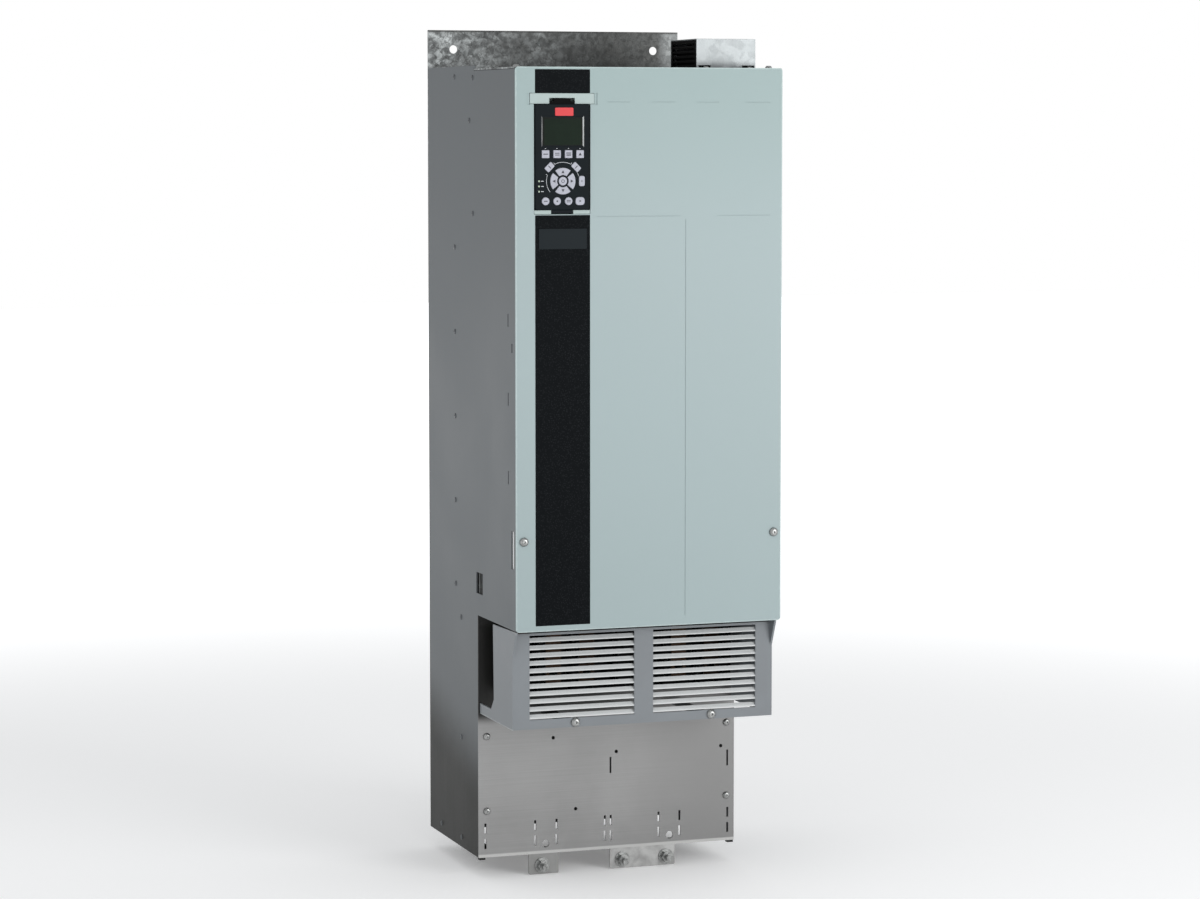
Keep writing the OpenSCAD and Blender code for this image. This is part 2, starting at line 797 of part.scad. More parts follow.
// Rear shell with the lower hook that sits in the cradle's sill
module lcp_back() {
    y1 = pad_face + pad_d;
    color("#2e3238") {
        difference() {
            slab_y(y1, y1 - pad_split) translate([pad_x, pad_z])
                rounded_rect(pad_w, pad_h, 3);
            slab_y(y1 - pad_wall, pad_d) translate([pad_x, pad_z])
                rounded_rect(pad_w - 2 * pad_wall, pad_h - 2 * pad_wall, 2);
            block([pad_x - 14, y1 - pad_wall - 1, pad_z - 16],
                [pad_x + 14, y1 + 1, pad_z + 1]);
        }
        block([pad_x - hook_w / 2, bar_front - 0.4, cradle_low + 0.6],
            [pad_x + hook_w / 2, y1, pad_bottom - 0.2]);
        block([pad_x - hook_w / 2, pad_split, pad_bottom - 0.3],
            [pad_x + hook_w / 2, y1, pad_bottom + 1]);
    }
}

module lcp_window() {
    color("#3c463c") slab_y(pad_face + 1.6, 1.1)
        translate([pad_x, pad_z + window_dz])
            rounded_rect(window_size[0] - 0.4, window_size[1] - 0.4, 0.8);
}

// Keypad board with the display module on its front
module lcp_board() {
    color("#2f6b45") {
        slab_y(board_y + board_t, board_t) difference() {
            translate([pad_x, pad_z])
                rounded_rect(pad_w - 2 * pad_wall - 0.6,
                    pad_h - 2 * pad_wall - 0.6, 1);
            block2d(pad_x - latch_w[0] / 2 - 1, pad_top - pad_wall - 4,
                pad_x + latch_w[0] / 2 + 1, pad_top);
        }
        slab_y(board_y, board_y - pad_face - pad_wall)
            translate([pad_x, pad_z + window_dz])
                rounded_rect(window_size[0] - 4, window_size[1] - 3, 0.5);
    }
    color("#2f6b45") block([pad_x - 12, board_y + board_t, pad_z - 14],
        [pad_x + 12, cradle_back - 2.4, pad_z - 1]);
}

module block2d(x0, z0, x1, z1) {
    translate([x0, z0]) square([x1 - x0, z1 - z0]);
}

// Thumb latch in the keypad's top edge, two steps wide
module lcp_latch() {
    y0 = pad_face + 1.4;
    y1 = pad_split - 0.4;
    low = pad_top - pad_wall - 0.4;
    color("#141414") {
        block([pad_x - latch_w[0] / 2, y0, low],
            [pad_x + latch_w[0] / 2, y1, pad_top + latch_h[0]]);
        block([pad_x - latch_w[1] / 2, y0, pad_top + latch_h[0] - 0.01],
            [pad_x + latch_w[1] / 2, y1 - 2,
            pad_top + latch_h[0] + latch_h[1]]);
    }
}

module indicator_lights() {
    color("#5d7a52") for (i = [0:2])
        round_y(pad_x + lamp_dx, pad_z + nav_dz - i * lamp_pitch, lamp_d,
            pad_face - 0.3, board_y);
}

// ---- Heat sink and power parts -----------------------------------------

module heat_sink() {
    fins = floor((2 * sink_x - fin[1]) / fin[0]);
    rear = -back_t - 12;
    color("#b4b8ba") {
        block([-sink_x, duct_back, sink_z],
            [sink_x, duct_back + sink_base, sink_z + sink_h]);
        for (i = [0:fins])
            block([(i - fins / 2) * fin[0] - fin[1] / 2,
                duct_back + sink_base - 0.01, sink_z],
                [(i - fins / 2) * fin[0] + fin[1] / 2, rear,
                sink_z + sink_h]);
    }
}

function igbt_x(i) = igbt_x0 + i * igbt_pitch;

// Transistor module with an output pad below and two supply pads above
module power_modules() {
    color("#4a4d52") for (i = [0:2]) translate([igbt_x(i), 0, igbt_z]) {
        block([-igbt[0] / 2, module_y - igbt[2], 0],
            [igbt[0] / 2, module_y, igbt[1]]);
        block([-bar[0] / 2, module_front, 3],
            [bar[0] / 2, module_y - igbt[2] + 0.01, 19]);
        for (sx = [-1, 1])
            block([sx * pole - leg / 2, module_front, igbt[1] - 16],
                [sx * pole + leg / 2, module_y - igbt[2] + 0.01,
                igbt[1] - 3]);
    }
}

module rectifier_modules() {
    color("#55585c") for (x = line_x)
        block([x - diode[0] / 2, module_front, diode_z],
            [x + diode[0] / 2, module_y, diode_z + diode[1]]);
}

// Capacitor cans on the wall, their poles towards the front
module capacitor_bank() {
    color("#2b2e33") for (x = can_x, z = can_z) {
        round_y(x, z, can_d, can_front, duct_face);
        round_y(x - pole, z, 8, bus_minus, can_front + 0.01);
        round_y(x + pole, z, 8, bus_plus, can_front + 0.01);
    }
}

// One plate in front of the cans, with a tail down to the modules
module bus_plate(y, s) {
    x1 = can_x[3] + can_d / 2;
    z_diode = diode_z + diode[1] - 16;
    z_igbt = igbt_z + igbt[1] - 18;
    slab_y(y, bus_t) {
        block2d(-x1, can_z[1] - can_d / 2 + 4, x1, can_z[0] + can_d / 2 - 4);
        block2d(line_x[0] - 16, z_diode, line_x[2] + 16, can_z[1]);
        block2d(igbt_x(0) - 20, z_igbt, igbt_x(2) + 20, can_z[1]);
    }
    for (i = [0:2])
        block([igbt_x(i) + s * pole - leg / 2 + 0.5, y - 0.01, z_igbt + 2],
            [igbt_x(i) + s * pole + leg / 2 - 0.5, module_front,
            z_igbt + 14]);
    for (x = line_x)
        block([x + s * 9 - 4, y - 0.01, z_diode + 2],
            [x + s * 9 + 4, module_front, z_diode + 14]);
}

module dc_bus_bars() {
    color("#b87a48") {
        difference() {
            bus_plate(bus_minus, -1);
            for (x = can_x, z = can_z)
                round_y(x + pole, z, 14, bus_plus - 1, bus_minus + 1);
            for (i = [0:2])
                block([igbt_x(i) + pole - 9, bus_minus - bus_t - 1,
                    igbt_z + igbt[1] - 20], [igbt_x(i) + pole + 9,
                    bus_minus + 0.5, igbt_z + igbt[1] - 1]);
            for (x = line_x)
                block([x + 3, bus_minus - bus_t - 1,
                    diode_z + diode[1] - 18], [x + 15, bus_minus + 0.5,
                    diode_z + diode[1] + 1]);
        }
        bus_plate(bus_plus, 1);
    }
}

// Straight bars from the line terminals up to the rectifiers
module line_bus_bars() {
    color("#c08a55") difference() {
        for (x = line_x)
            block([x - bar[0] / 2, module_front - bar[1], line_z0],
                [x + bar[0] / 2, module_front, diode_z + 18]);
        for (x = line_x)
            round_y(x, line_z0 + 16, 11, module_front - bar[1] - 1,
                module_front + 1);
    }
}

// Stepped bars from the transistor modules down to the motor terminals
module motor_bus_bars() {
    w = bar[0] / 2;
    color("#c08a55") slab_y(module_front, bar[1]) difference() {
        for (i = [0:2]) {
            lo = min(igbt_x(i), motor_x[i]);
            hi = max(igbt_x(i), motor_x[i]);
            block2d(motor_x[i] - w, line_z0, motor_x[i] + w, jog_z[i] + w);
            block2d(lo - w, jog_z[i] - w, hi + w, jog_z[i] + w);
            block2d(igbt_x(i) - w, jog_z[i] - w, igbt_x(i) + w, igbt_z + 18);
        }
        for (x = motor_x) translate([x, line_z0 + 16]) circle(d = 11);
    }
}

// Moulded base under the six terminals, with ribs between them
module terminal_block() {
    x0 = line_x[0] - term_pitch / 2;
    x1 = motor_x[2] + term_pitch / 2;
    color("#2a2c30") difference() {
        union() {
            block([x0, module_front, block_z[0]], [x1, duct_face, block_z[1]]);
            for (x = concat([x0 + 2], [for (i = [0:1]) line_x[i] + term_pitch / 2],
                [(line_x[2] + motor_x[0]) / 2],
                [for (i = [0:1]) motor_x[i] + term_pitch / 2], [x1 - 2]))
                block([x - 2, module_front - 16, block_z[0]],
                    [x + 2, duct_face, block_z[1]]);
        }
        for (x = concat(line_x, motor_x))
            round_y(x, line_z0 + 16, 12, module_front - 1, duct_face - 8);
    }
}

// Current sensors round the motor bars
module current_sensors() {
    color("#26324a") for (x = motor_x) difference() {
        block([x - 20, module_front - bar[1] - 12, sensor_z],
            [x + 20, duct_face, sensor_z + 26]);
        block([x - bar[0] / 2 - 0.5, module_front - bar[1] - 0.5,
            sensor_z - 1], [x + bar[0] / 2 + 0.5, module_front + 0.5,
            sensor_z + 27]);
    }
}

// ---- Boards -------------------------------------------------------------

module power_card() {
    color("#2c6e49") {
        slab_y(card_y, 1.6) rounded_window(-card_x, card_x, card_z[0],
            card_z[1], 3);
        for (p = [[-120, 60, 46, 40, 24], [-40, 150, 60, 50, 22],
            [60, 50, 34, 34, 20], [110, 150, 40, 60, 20],
            [-120, 160, 50, 30, 14]])
            block([p[0], card_y - 1.6 - p[4], card_z[0] + p[1]],
                [p[0] + p[2], card_y - 1.59, card_z[0] + p[1] + p[3]]);
    }
}

module card_posts() {
    color("#c8b478") for (sx = [-1, 1], z = [card_z[0] + 8, card_z[1] - 8])
        round_y(sx * post_x, z, post_d, card_y, duct_face);
}

// Plastic tray on the left rail that carries the control card and cradle
module control_tray() {
    color("#33373c") {
        difference() {
            block([-rail_x, tray_y - 7, tray_z[0]],
                [tray_x1, tray_y + tray_t, tray_z[1]]);
            block([-rail_x + 2, tray_y - 8, tray_z[0] + 2],
                [tray_x1 - 2, tray_y, tray_z[1] - 2]);
        }
        for (sx = [-1, 1], z = [cradle_low + 6, cradle_top - 8])
            round_y(pad_x + sx * (pad_w / 2 - 2), z, 7, cradle_back,
                tray_y + 0.01);
    }
}

module control_card() {
    y = tray_y - 2;
    color("#2c6e49") {
        difference() {
            slab_y(y, 1.6) rounded_window(-rail_x + 3, tray_x1 - 3,
                tray_z[0] + 3, tray_z[1] - 3, 1);
            for (sx = [-1, 1], z = [cradle_low + 6, cradle_top - 8])
                round_y(pad_x + sx * (pad_w / 2 - 2), z, 9, y - 3, y + 1);
        }
        for (i = [0:3])
            block([-rail_x + 10 + 26 * i, y - 13, tray_z[0] + 8],
                [-rail_x + 30 + 26 * i, y - 1.59, tray_z[0] + 20]);
        block([pad_x - 20, y + 0.5, tray_z[0] + 60],
            [pad_x + 20, y - 0.01, tray_z[0] + 90]);
        block([pad_x - 25, y - 6, tray_z[0] + 60],
            [pad_x + 5, y - 1.59, tray_z[0] + 90]);
    }
}

// ---- Fans ---------------------------------------------------------------

// Axial fan rotor on the Z axis: a hub with a bore and swept blades
module rotor(d, h, hub, bore, blades, pitch_angle) {
    difference() {
        cylinder(d = hub, h = h);
        translate([0, 0, -1]) cylinder(d = bore, h = h + 2);
    }
    intersection() {
        difference() {
            cylinder(d = d, h = h);
            translate([0, 0, -1]) cylinder(d = hub - 1, h = h + 2);
        }
        for (i = [0:blades - 1]) rotate([0, 0, i * 360 / blades])
            translate([0, 0, h / 2]) rotate([pitch_angle, 0, 0])
                translate([0, -1, -h]) cube([d / 2 + 2, 2, 2 * h]);
    }
}

// Square fan frame: a ring, four arms and the spindle the rotor runs on
module fan_ring(w, d, h, hub, spindle, arm) {
    difference() {
        block([-w / 2, -w / 2, 0], [w / 2, w / 2, h]);
        translate([0, 0, -1]) cylinder(d = d, h = h + 2);
    }
    for (a = [0:90:270]) rotate([0, 0, a + 45])
        block([0, -arm, 0], [d / 2 + 1, arm, 3]);
    cylinder(d = hub, h = 3);
    cylinder(d = spindle, h = h - 4);
}

module duct_fan_frame() {
    y0 = duct_back + 0.5;
    y1 = -back_t - 0.5;
    w = y1 - y0;
    color("#3a3d40") translate([0, fan_y, fan_z]) {
        fan_ring(w, duct_fan_d + 6, fan_h, 70, 12, 5);
        difference() {
            block([-in_w, -w / 2, -fan_shelf], [in_w, w / 2, 0.01]);
            translate([0, 0, -5]) cylinder(d = duct_fan_d + 6, h = 10);
        }
        for (a = [0:90:270]) rotate([0, 0, a + 45])
            block([0, -5, -fan_shelf], [duct_fan_d / 2 + 4, 5, 0.01]);
    }
}

module duct_fan_rotor() {
    color("#1d1f21") translate([0, fan_y, fan_z + 4])
        rotor(duct_fan_d, fan_h - 8, 72, 12.1, 7, 40);
}

module top_fan_frame() {
    color("#232527") translate([top_fan_x, top_fan_y, case_h])
        fan_ring(top_fan_frame[0], top_fan_d + 3, top_fan_frame[2], 30, 4, 2);
}

module top_fan_rotor() {
    color("#151617") translate([top_fan_x, top_fan_y, case_h + 4])
        rotor(top_fan_d, top_fan_frame[2] - 8, 32, 4.1, 7, 38);
}

// ---- Assembly -----------------------------------------------------------

back_panel();
left_side_panel();
right_side_panel();
top_plate();
bottom_plate();
duct_front_plate();
base_plate();
ground_tabs();
ground_studs();
corner_blocks();
fan_hood();
hood_vent();
panel_screws();
cover_rails();
front_cover();
front_stripe();
name_plate();
cover_screws();
terminal_cover();
terminal_cover_screws();
lcp_cradle();
lcp_housing();
lcp_back();
lcp_window();
lcp_board();
lcp_latch();
indicator_lights();
heat_sink();
power_modules();
rectifier_modules();
capacitor_bank();
dc_bus_bars();
line_bus_bars();
motor_bus_bars();
terminal_block();
current_sensors();
power_card();
card_posts();
control_tray();
control_card();
duct_fan_frame();
duct_fan_rotor();
top_fan_frame();
top_fan_rotor();
for (i = [0:len(KEYS) - 1])
    key_cap(i);
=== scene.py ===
# %% [markdown]
# # A wall-hung variable frequency drive
# A variable frequency drive makes the mains into a supply of any frequency, so that a motor can
# run at any speed. This one hangs on a wall by a zinc flange. A cooling duct runs up its back,
# the electronics sit in front of the duct, and a louvred cover hides the power terminals.
# The engineering model is the fixed frame: it is loaded first, and every piece that this file
# makes takes its place from it.

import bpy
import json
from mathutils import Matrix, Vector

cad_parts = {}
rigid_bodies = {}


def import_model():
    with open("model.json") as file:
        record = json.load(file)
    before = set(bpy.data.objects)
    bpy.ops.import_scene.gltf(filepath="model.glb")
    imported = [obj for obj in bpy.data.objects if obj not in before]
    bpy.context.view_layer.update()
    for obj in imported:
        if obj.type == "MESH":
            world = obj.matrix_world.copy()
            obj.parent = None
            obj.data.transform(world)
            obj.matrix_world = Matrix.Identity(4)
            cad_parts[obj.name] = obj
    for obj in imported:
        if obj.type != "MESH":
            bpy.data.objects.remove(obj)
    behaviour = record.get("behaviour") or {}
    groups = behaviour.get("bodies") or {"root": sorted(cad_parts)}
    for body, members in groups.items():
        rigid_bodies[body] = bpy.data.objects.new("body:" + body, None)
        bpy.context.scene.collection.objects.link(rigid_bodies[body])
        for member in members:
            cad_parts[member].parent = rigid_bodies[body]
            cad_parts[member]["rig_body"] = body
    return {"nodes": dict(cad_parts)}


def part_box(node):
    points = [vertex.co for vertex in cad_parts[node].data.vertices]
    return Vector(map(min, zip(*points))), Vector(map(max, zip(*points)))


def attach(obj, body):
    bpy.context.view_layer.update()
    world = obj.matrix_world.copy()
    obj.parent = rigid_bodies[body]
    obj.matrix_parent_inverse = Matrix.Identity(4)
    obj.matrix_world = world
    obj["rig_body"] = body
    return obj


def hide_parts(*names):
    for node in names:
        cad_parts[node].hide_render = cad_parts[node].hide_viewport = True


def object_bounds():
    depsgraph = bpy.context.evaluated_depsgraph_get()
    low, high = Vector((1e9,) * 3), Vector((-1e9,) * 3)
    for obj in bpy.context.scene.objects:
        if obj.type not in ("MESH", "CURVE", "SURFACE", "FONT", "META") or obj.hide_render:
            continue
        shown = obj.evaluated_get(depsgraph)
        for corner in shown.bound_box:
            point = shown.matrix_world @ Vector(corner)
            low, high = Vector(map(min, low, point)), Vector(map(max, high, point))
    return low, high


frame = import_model()
cad_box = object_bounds()

# %% Tools that the later cells use
import json
import math

import bmesh
import bpy
from mathutils import Matrix, Vector

MM = 0.001


def middle(node):
    low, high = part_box(node)
    return (low + high) / 2


print("the drive is", [round(side / MM, 1) for side in cad_box[1] - cad_box[0]], "mm")

# %% [markdown]
# ## Camera
# A product picture of a tall cabinet is taken from far off with a long lens, so that its edges
# stay nearly parallel. The camera stands to the left of the drive, which shows the front and
# one side, and it looks a little down. The lens shift moves the picture up without tilting
# the camera, so the upright edges stay upright.

# %% Camera
YAW = math.radians(19.31)
PITCH = math.radians(4.53)

lens = bpy.data.cameras.new("camera")
lens.lens = 103.44
lens.sensor_width = 36
lens.shift_y = -0.0385
camera = bpy.data.objects.new("camera", lens)
bpy.context.scene.collection.objects.link(camera)
bpy.context.scene.camera = camera
forward = Vector((math.sin(YAW) * math.cos(PITCH), math.cos(YAW) * math.cos(PITCH),
                  -math.sin(PITCH)))
right = Vector((math.cos(YAW), -math.sin(YAW), 0))
upward = right.cross(forward)
camera.matrix_world = Matrix.Translation((-1.467, -4.373, 0.928)) @ Matrix(
    (right, upward, -forward)).transposed().to_4x4()
print(f"camera {(camera.location - middle('front_cover')).length:.2f} m from the front cover")

# %% [markdown]
# ## Light
# Sheet metal shows what stands round it, so a studio lights it with large soft boxes. A pale
# sky gives most of the light. One big lamp in front and to the right makes the front the
# brightest face and leaves the side a step darker, a second one above draws the top edges,
# and a weak one on the left keeps the side from going flat.

# %% Sky and lamps
world = bpy.data.worlds.new("studio")
bpy.context.scene.world = world
world.use_nodes = True
sky = world.node_tree.nodes["Background"]
sky.inputs["Color"].default_value = (0.97, 0.985, 1.0, 1)
sky.inputs["Strength"].default_value = 0.62
white = world.node_tree.nodes.new("ShaderNodeBackground")
white.inputs["Color"].default_value = (1, 1, 1, 1)
white.inputs["Strength"].default_value = 1.0
seen = world.node_tree.nodes.new("ShaderNodeLightPath")
choice = world.node_tree.nodes.new("ShaderNodeMixShader")
world.node_tree.links.new(seen.outputs["Is Camera Ray"], choice.inputs[0])
world.node_tree.links.new(sky.outputs[0], choice.inputs[1])
world.node_tree.links.new(white.outputs[0], choice.inputs[2])
world.node_tree.links.new(choice.outputs[0], world.node_tree.nodes["World Output"].inputs[0])


def soft_box(name, place, target, size, watts):
    lamp = bpy.data.lights.new(name, "AREA")
    lamp.shape = "RECTANGLE"
    lamp.size, lamp.size_y = size
    lamp.energy = watts
    box = bpy.data.objects.new(name, lamp)
    box.location = place
    box.rotation_mode = "QUATERNION"
    box.rotation_quaternion = (Vector(target) - Vector(place)).to_track_quat("-Z", "Y")
    bpy.context.scene.collection.objects.link(box)


soft_box("front_box", (1.6, -3.2, 1.05), (0, -0.3, 0.65), (1.8, 1.6), 50)
soft_box("top_box", (-0.4, -1.2, 2.9), (0, -0.2, 0.6), (1.6, 1.6), 5)
soft_box("left_box", (-2.8, -1.4, 1.3), (0, -0.2, 0.6), (1.0, 2.0), 5)
bpy.context.scene.view_settings.view_transform = "Standard"
print("three soft boxes and a pale sky")

# %% [markdown]
# ## Floor
# The drive hangs on a wall when it works. Here it stands over a plain pale floor, just clear of
# its two earth tabs. The floor is one large sheet that belongs to the studio and not to the drive.
# It glows a little with distance, so that it runs out into the white backdrop as studio paper
# does.

# %% Floor
FLOOR_HALF = 14.0

floor_mesh = bpy.data.meshes.new("floor")
level = cad_box[0].z - 0.5 * MM
floor_mesh.from_pydata(
    [(-FLOOR_HALF, -FLOOR_HALF, level), (FLOOR_HALF, -FLOOR_HALF, level),
     (FLOOR_HALF, FLOOR_HALF, level), (-FLOOR_HALF, FLOOR_HALF, level)], [], [(0, 1, 2, 3)])
floor = bpy.data.objects.new("floor", floor_mesh)
bpy.context.scene.collection.objects.link(floor)
paper = bpy.data.materials.new("studio_paper")
paper.use_nodes = True
paper.node_tree.nodes["Principled BSDF"].inputs["Base Color"].default_value = (0.93, 0.93, 0.93, 1)
paper.node_tree.nodes["Principled BSDF"].inputs["Roughness"].default_value = 0.9
spot = paper.node_tree.nodes.new("ShaderNodeTexCoord").outputs["Object"]
far = paper.node_tree.nodes.new("ShaderNodeVectorMath")
far.operation = "LENGTH"
paper.node_tree.links.new(spot, far.inputs[0])
glow = paper.node_tree.nodes.new("ShaderNodeMapRange")
glow.interpolation_type = "SMOOTHERSTEP"
for label, value in (("From Min", 0.7), ("From Max", 4.0), ("To Min", 0.20), ("To Max", 0.80)):
    glow.inputs[label].default_value = value
paper.node_tree.links.new(far.outputs["Value"], glow.inputs["Value"])
paper.node_tree.nodes["Principled BSDF"].inputs["Emission Color"].default_value = (1, 1, 1, 1)
paper.node_tree.links.new(glow.outputs[0],
                          paper.node_tree.nodes["Principled BSDF"].inputs["Emission Strength"])
floor_mesh.materials.append(paper)
print(f"floor at {level / MM:.1f} mm")

# %% [markdown]
# ## Surface effects
# Most finishes on this drive are one of a few things laid over a plain colour: a fine moulded
# or sprayed grain, zinc crystals, the lines that a brush or a rolling mill leaves, cloudy
# marks from storage and hands, and bare edges where paint has rubbed off. Each is a shader
# node group, built once, with its sizes as named inputs. A finish then places the groups that
# it needs with values of its own. All of them read object coordinates in metres, so a size
# means the same on every piece.

# %% Node helpers
def add(tree, kind, sockets=None, **settings):
    """A node of that kind, with its settings, and its inputs set or linked by name or number."""
    made = tree.nodes.new(kind)
    for name, value in settings.items():
        setattr(made, name, value)
    for name, value in (sockets or {}).items():
        if isinstance(value, bpy.types.NodeSocket):
            tree.links.new(value, made.inputs[name])
        else:
            made.inputs[name].default_value = value
    return made


def maths(tree, operation, *values):
    return add(tree, "ShaderNodeMath", dict(enumerate(values)), operation=operation).outputs[0]


def effect_group(name, sizes, results=("Shade",)):
    """Empty shader group that takes a Vector and the named sizes, and gives the named results."""
    group = bpy.data.node_groups.new(name, "ShaderNodeTree")
    group.interface.new_socket("Vector", in_out="INPUT", socket_type="NodeSocketVector")
    for label, value in sizes.items():
        kind = "NodeSocketFloat" if isinstance(value, float) else "NodeSocketVector"
        socket = group.interface.new_socket(label, in_out="INPUT", socket_type=kind)
        socket.default_value = value
    for label in results:
        group.interface.new_socket(label, in_out="OUTPUT", socket_type="NodeSocketFloat")
    return group, add(group, "NodeGroupInput"), add(group, "NodeGroupOutput")


def give(group, ends, value, result="Shade"):
    group.links.new(value, ends.inputs[result])


print("helpers ready")

# %% Grain: the skin of a powder coat or of a mould
grain, starts, ends = effect_group("fine_grain", {"Size": 0.001})
spots = add(grain, "ShaderNodeTexNoise",
            {"Vector": starts.outputs["Vector"],
             "Scale": maths(grain, "DIVIDE", 1.0, starts.outputs["Size"]), "Detail": 2.0})
give(grain, ends, spots.outputs[0])
print(grain.name, "takes", [s.name for s in starts.outputs if s.name])

# %% Crystals: the spangle that hot zinc freezes into
spangle, starts, ends = effect_group("zinc_spangle", {"Size": 0.008})
scale = maths(spangle, "DIVIDE", 1.0, starts.outputs["Size"])
wobble = add(spangle, "ShaderNodeTexNoise",
             {"Vector": starts.outputs["Vector"], "Scale": scale, "Detail": 3.0})
push = add(spangle, "ShaderNodeVectorMath",
           {0: wobble.outputs[1], "Scale": 0.006}, operation="SCALE")
bent = add(spangle, "ShaderNodeVectorMath",
           {0: starts.outputs["Vector"], 1: push.outputs[0]}, operation="ADD")
flakes = add(spangle, "ShaderNodeTexVoronoi", {"Vector": bent.outputs[0], "Scale": scale})
tone = add(spangle, "ShaderNodeSeparateColor", {0: flakes.outputs["Color"]})
give(spangle, ends, tone.outputs[0])
print(spangle.name, "gives every crystal a tone of its own")

# %% Seams: the thin dark lines between zinc crystals
seams, starts, ends = effect_group("crystal_seams", {"Size": 0.006})
seam_scale = maths(seams, "DIVIDE", 1.0, starts.outputs["Size"])
stir = add(seams, "ShaderNodeTexNoise",
           {"Vector": starts.outputs["Vector"], "Scale": seam_scale, "Detail": 2.0})
shove = add(seams, "ShaderNodeVectorMath", {0: stir.outputs[1], "Scale": 0.004},
            operation="SCALE")
moved = add(seams, "ShaderNodeVectorMath",
            {0: starts.outputs["Vector"], 1: shove.outputs[0]}, operation="ADD")
ridges = add(seams, "ShaderNodeTexVoronoi", {"Vector": moved.outputs[0], "Scale": seam_scale},
             feature="DISTANCE_TO_EDGE")
thin = add(seams, "ShaderNodeMapRange", {0: ridges.outputs["Distance"], 1: 0.0, 2: 0.07,
                                         3: 1.0, 4: 0.0})
broken = add(seams, "ShaderNodeMapRange", {0: stir.outputs[0], 1: 0.47, 2: 0.56})
give(seams, ends, maths(seams, "MULTIPLY", thin.outputs[0], broken.outputs[0]))
print(seams.name, "runs along crystal edges and breaks off here and there")

# %% Lines: what a brush or a rolling mill leaves
lines, starts, ends = effect_group("rolled_lines", {"Stretch": (30.0, 30.0, 1400.0)})
pulled = add(lines, "ShaderNodeVectorMath",
             {0: starts.outputs["Vector"], 1: starts.outputs["Stretch"]}, operation="MULTIPLY")
streaks = add(lines, "ShaderNodeTexNoise",
              {"Vector": pulled.outputs[0], "Scale": 1.0, "Detail": 3.0, "Roughness": 0.6})
give(lines, ends, streaks.outputs[0])
print(lines.name, "is noise pulled out along the sheet")

# %% Clouds: storage marks and fingerprints
clouds, starts, ends = effect_group("cloudy_marks", {"Size": 0.12, "Sharpness": 0.3})
drift = add(clouds, "ShaderNodeTexNoise",
            {"Vector": starts.outputs["Vector"],
             "Scale": maths(clouds, "DIVIDE", 1.0, starts.outputs["Size"]),
             "Detail": 5.0, "Roughness": 0.55, "Distortion": 0.4})
spread = maths(clouds, "SUBTRACT", 0.5, starts.outputs["Sharpness"])
marks = add(clouds, "ShaderNodeMapRange",
            {0: drift.outputs[0], 1: maths(clouds, "SUBTRACT", 0.5, spread),
             2: maths(clouds, "ADD", 0.5, spread)}, interpolation_type="SMOOTHSTEP")
give(clouds, ends, marks.outputs[0])
print(clouds.name, "ready")

# %% Slow change along one line: a sheet that darkens, and painted shade that falls off
fade, starts, ends = effect_group(
    "slow_fade", {"Along": (0.0, 0.0, 1.0), "Start": 0.0, "End": 1.0, "Breakup": 0.0})
reach = add(fade, "ShaderNodeVectorMath",
            {0: starts.outputs["Vector"], 1: starts.outputs["Along"]}, operation="DOT_PRODUCT")
ragged = add(fade, "ShaderNodeTexNoise",
             {"Vector": starts.outputs["Vector"], "Scale": 14.0, "Detail": 4.0})
shift = maths(fade, "MULTIPLY", maths(fade, "SUBTRACT", ragged.outputs[0], 0.5),
              starts.outputs["Breakup"])
ramp = add(fade, "ShaderNodeMapRange",
           {0: maths(fade, "ADD", reach.outputs["Value"], shift), 1: starts.outputs["Start"],
            2: starts.outputs["End"]}, interpolation_type="SMOOTHSTEP")
give(fade, ends, ramp.outputs[0])
print(fade.name, "ready")

# %% Worn edges: how near a point lies to an edge of a box
wear, starts, ends = effect_group(
    "edge_wear", {"Low": (0.0, 0.0, 0.0), "High": (1.0, 1.0, 1.0), "Width": 0.001})
inner = add(wear, "ShaderNodeVectorMath",
            {0: starts.outputs["Vector"], 1: starts.outputs["Low"]}, operation="SUBTRACT")
outer = add(wear, "ShaderNodeVectorMath",
            {0: starts.outputs["High"], 1: starts.outputs["Vector"]}, operation="SUBTRACT")
nearest = add(wear, "ShaderNodeVectorMath",
              {0: inner.outputs[0], 1: outer.outputs[0]}, operation="MINIMUM")
apart = add(wear, "ShaderNodeSeparateXYZ", {0: nearest.outputs[0]})
x_gap, y_gap, z_gap = apart.outputs
second = maths(wear, "MAXIMUM", maths(wear, "MINIMUM", x_gap, y_gap),
               maths(wear, "MINIMUM", maths(wear, "MAXIMUM", x_gap, y_gap), z_gap))
nibbled = add(wear, "ShaderNodeTexNoise",
              {"Vector": starts.outputs["Vector"], "Scale": 160.0, "Detail": 4.0})
limit = maths(wear, "MULTIPLY", starts.outputs["Width"],
              maths(wear, "MULTIPLY", nibbled.outputs[0], 2.2))
edge = add(wear, "ShaderNodeMapRange", {0: second, 1: 0.0, 2: limit, 3: 1.0, 4: 0.0})
give(wear, ends, edge.outputs[0])
print(wear.name, "ready")

# %% Speckle: the light flecks in a printed film
speckle, starts, ends = effect_group("film_speckle", {"Size": 0.0016})
cells = add(speckle, "ShaderNodeTexVoronoi",
            {"Vector": starts.outputs["Vector"],
             "Scale": maths(speckle, "DIVIDE", 1.0, starts.outputs["Size"])})
dots = add(speckle, "ShaderNodeMapRange", {0: cells.outputs["Distance"], 1: 0.12, 2: 0.42,
                                           3: 1.0, 4: 0.0})
cell_tone = add(speckle, "ShaderNodeSeparateColor", {0: cells.outputs["Color"]})
give(speckle, ends, maths(speckle, "MULTIPLY", dots.outputs[0], cell_tone.outputs[1]))
print(speckle.name, "ready")
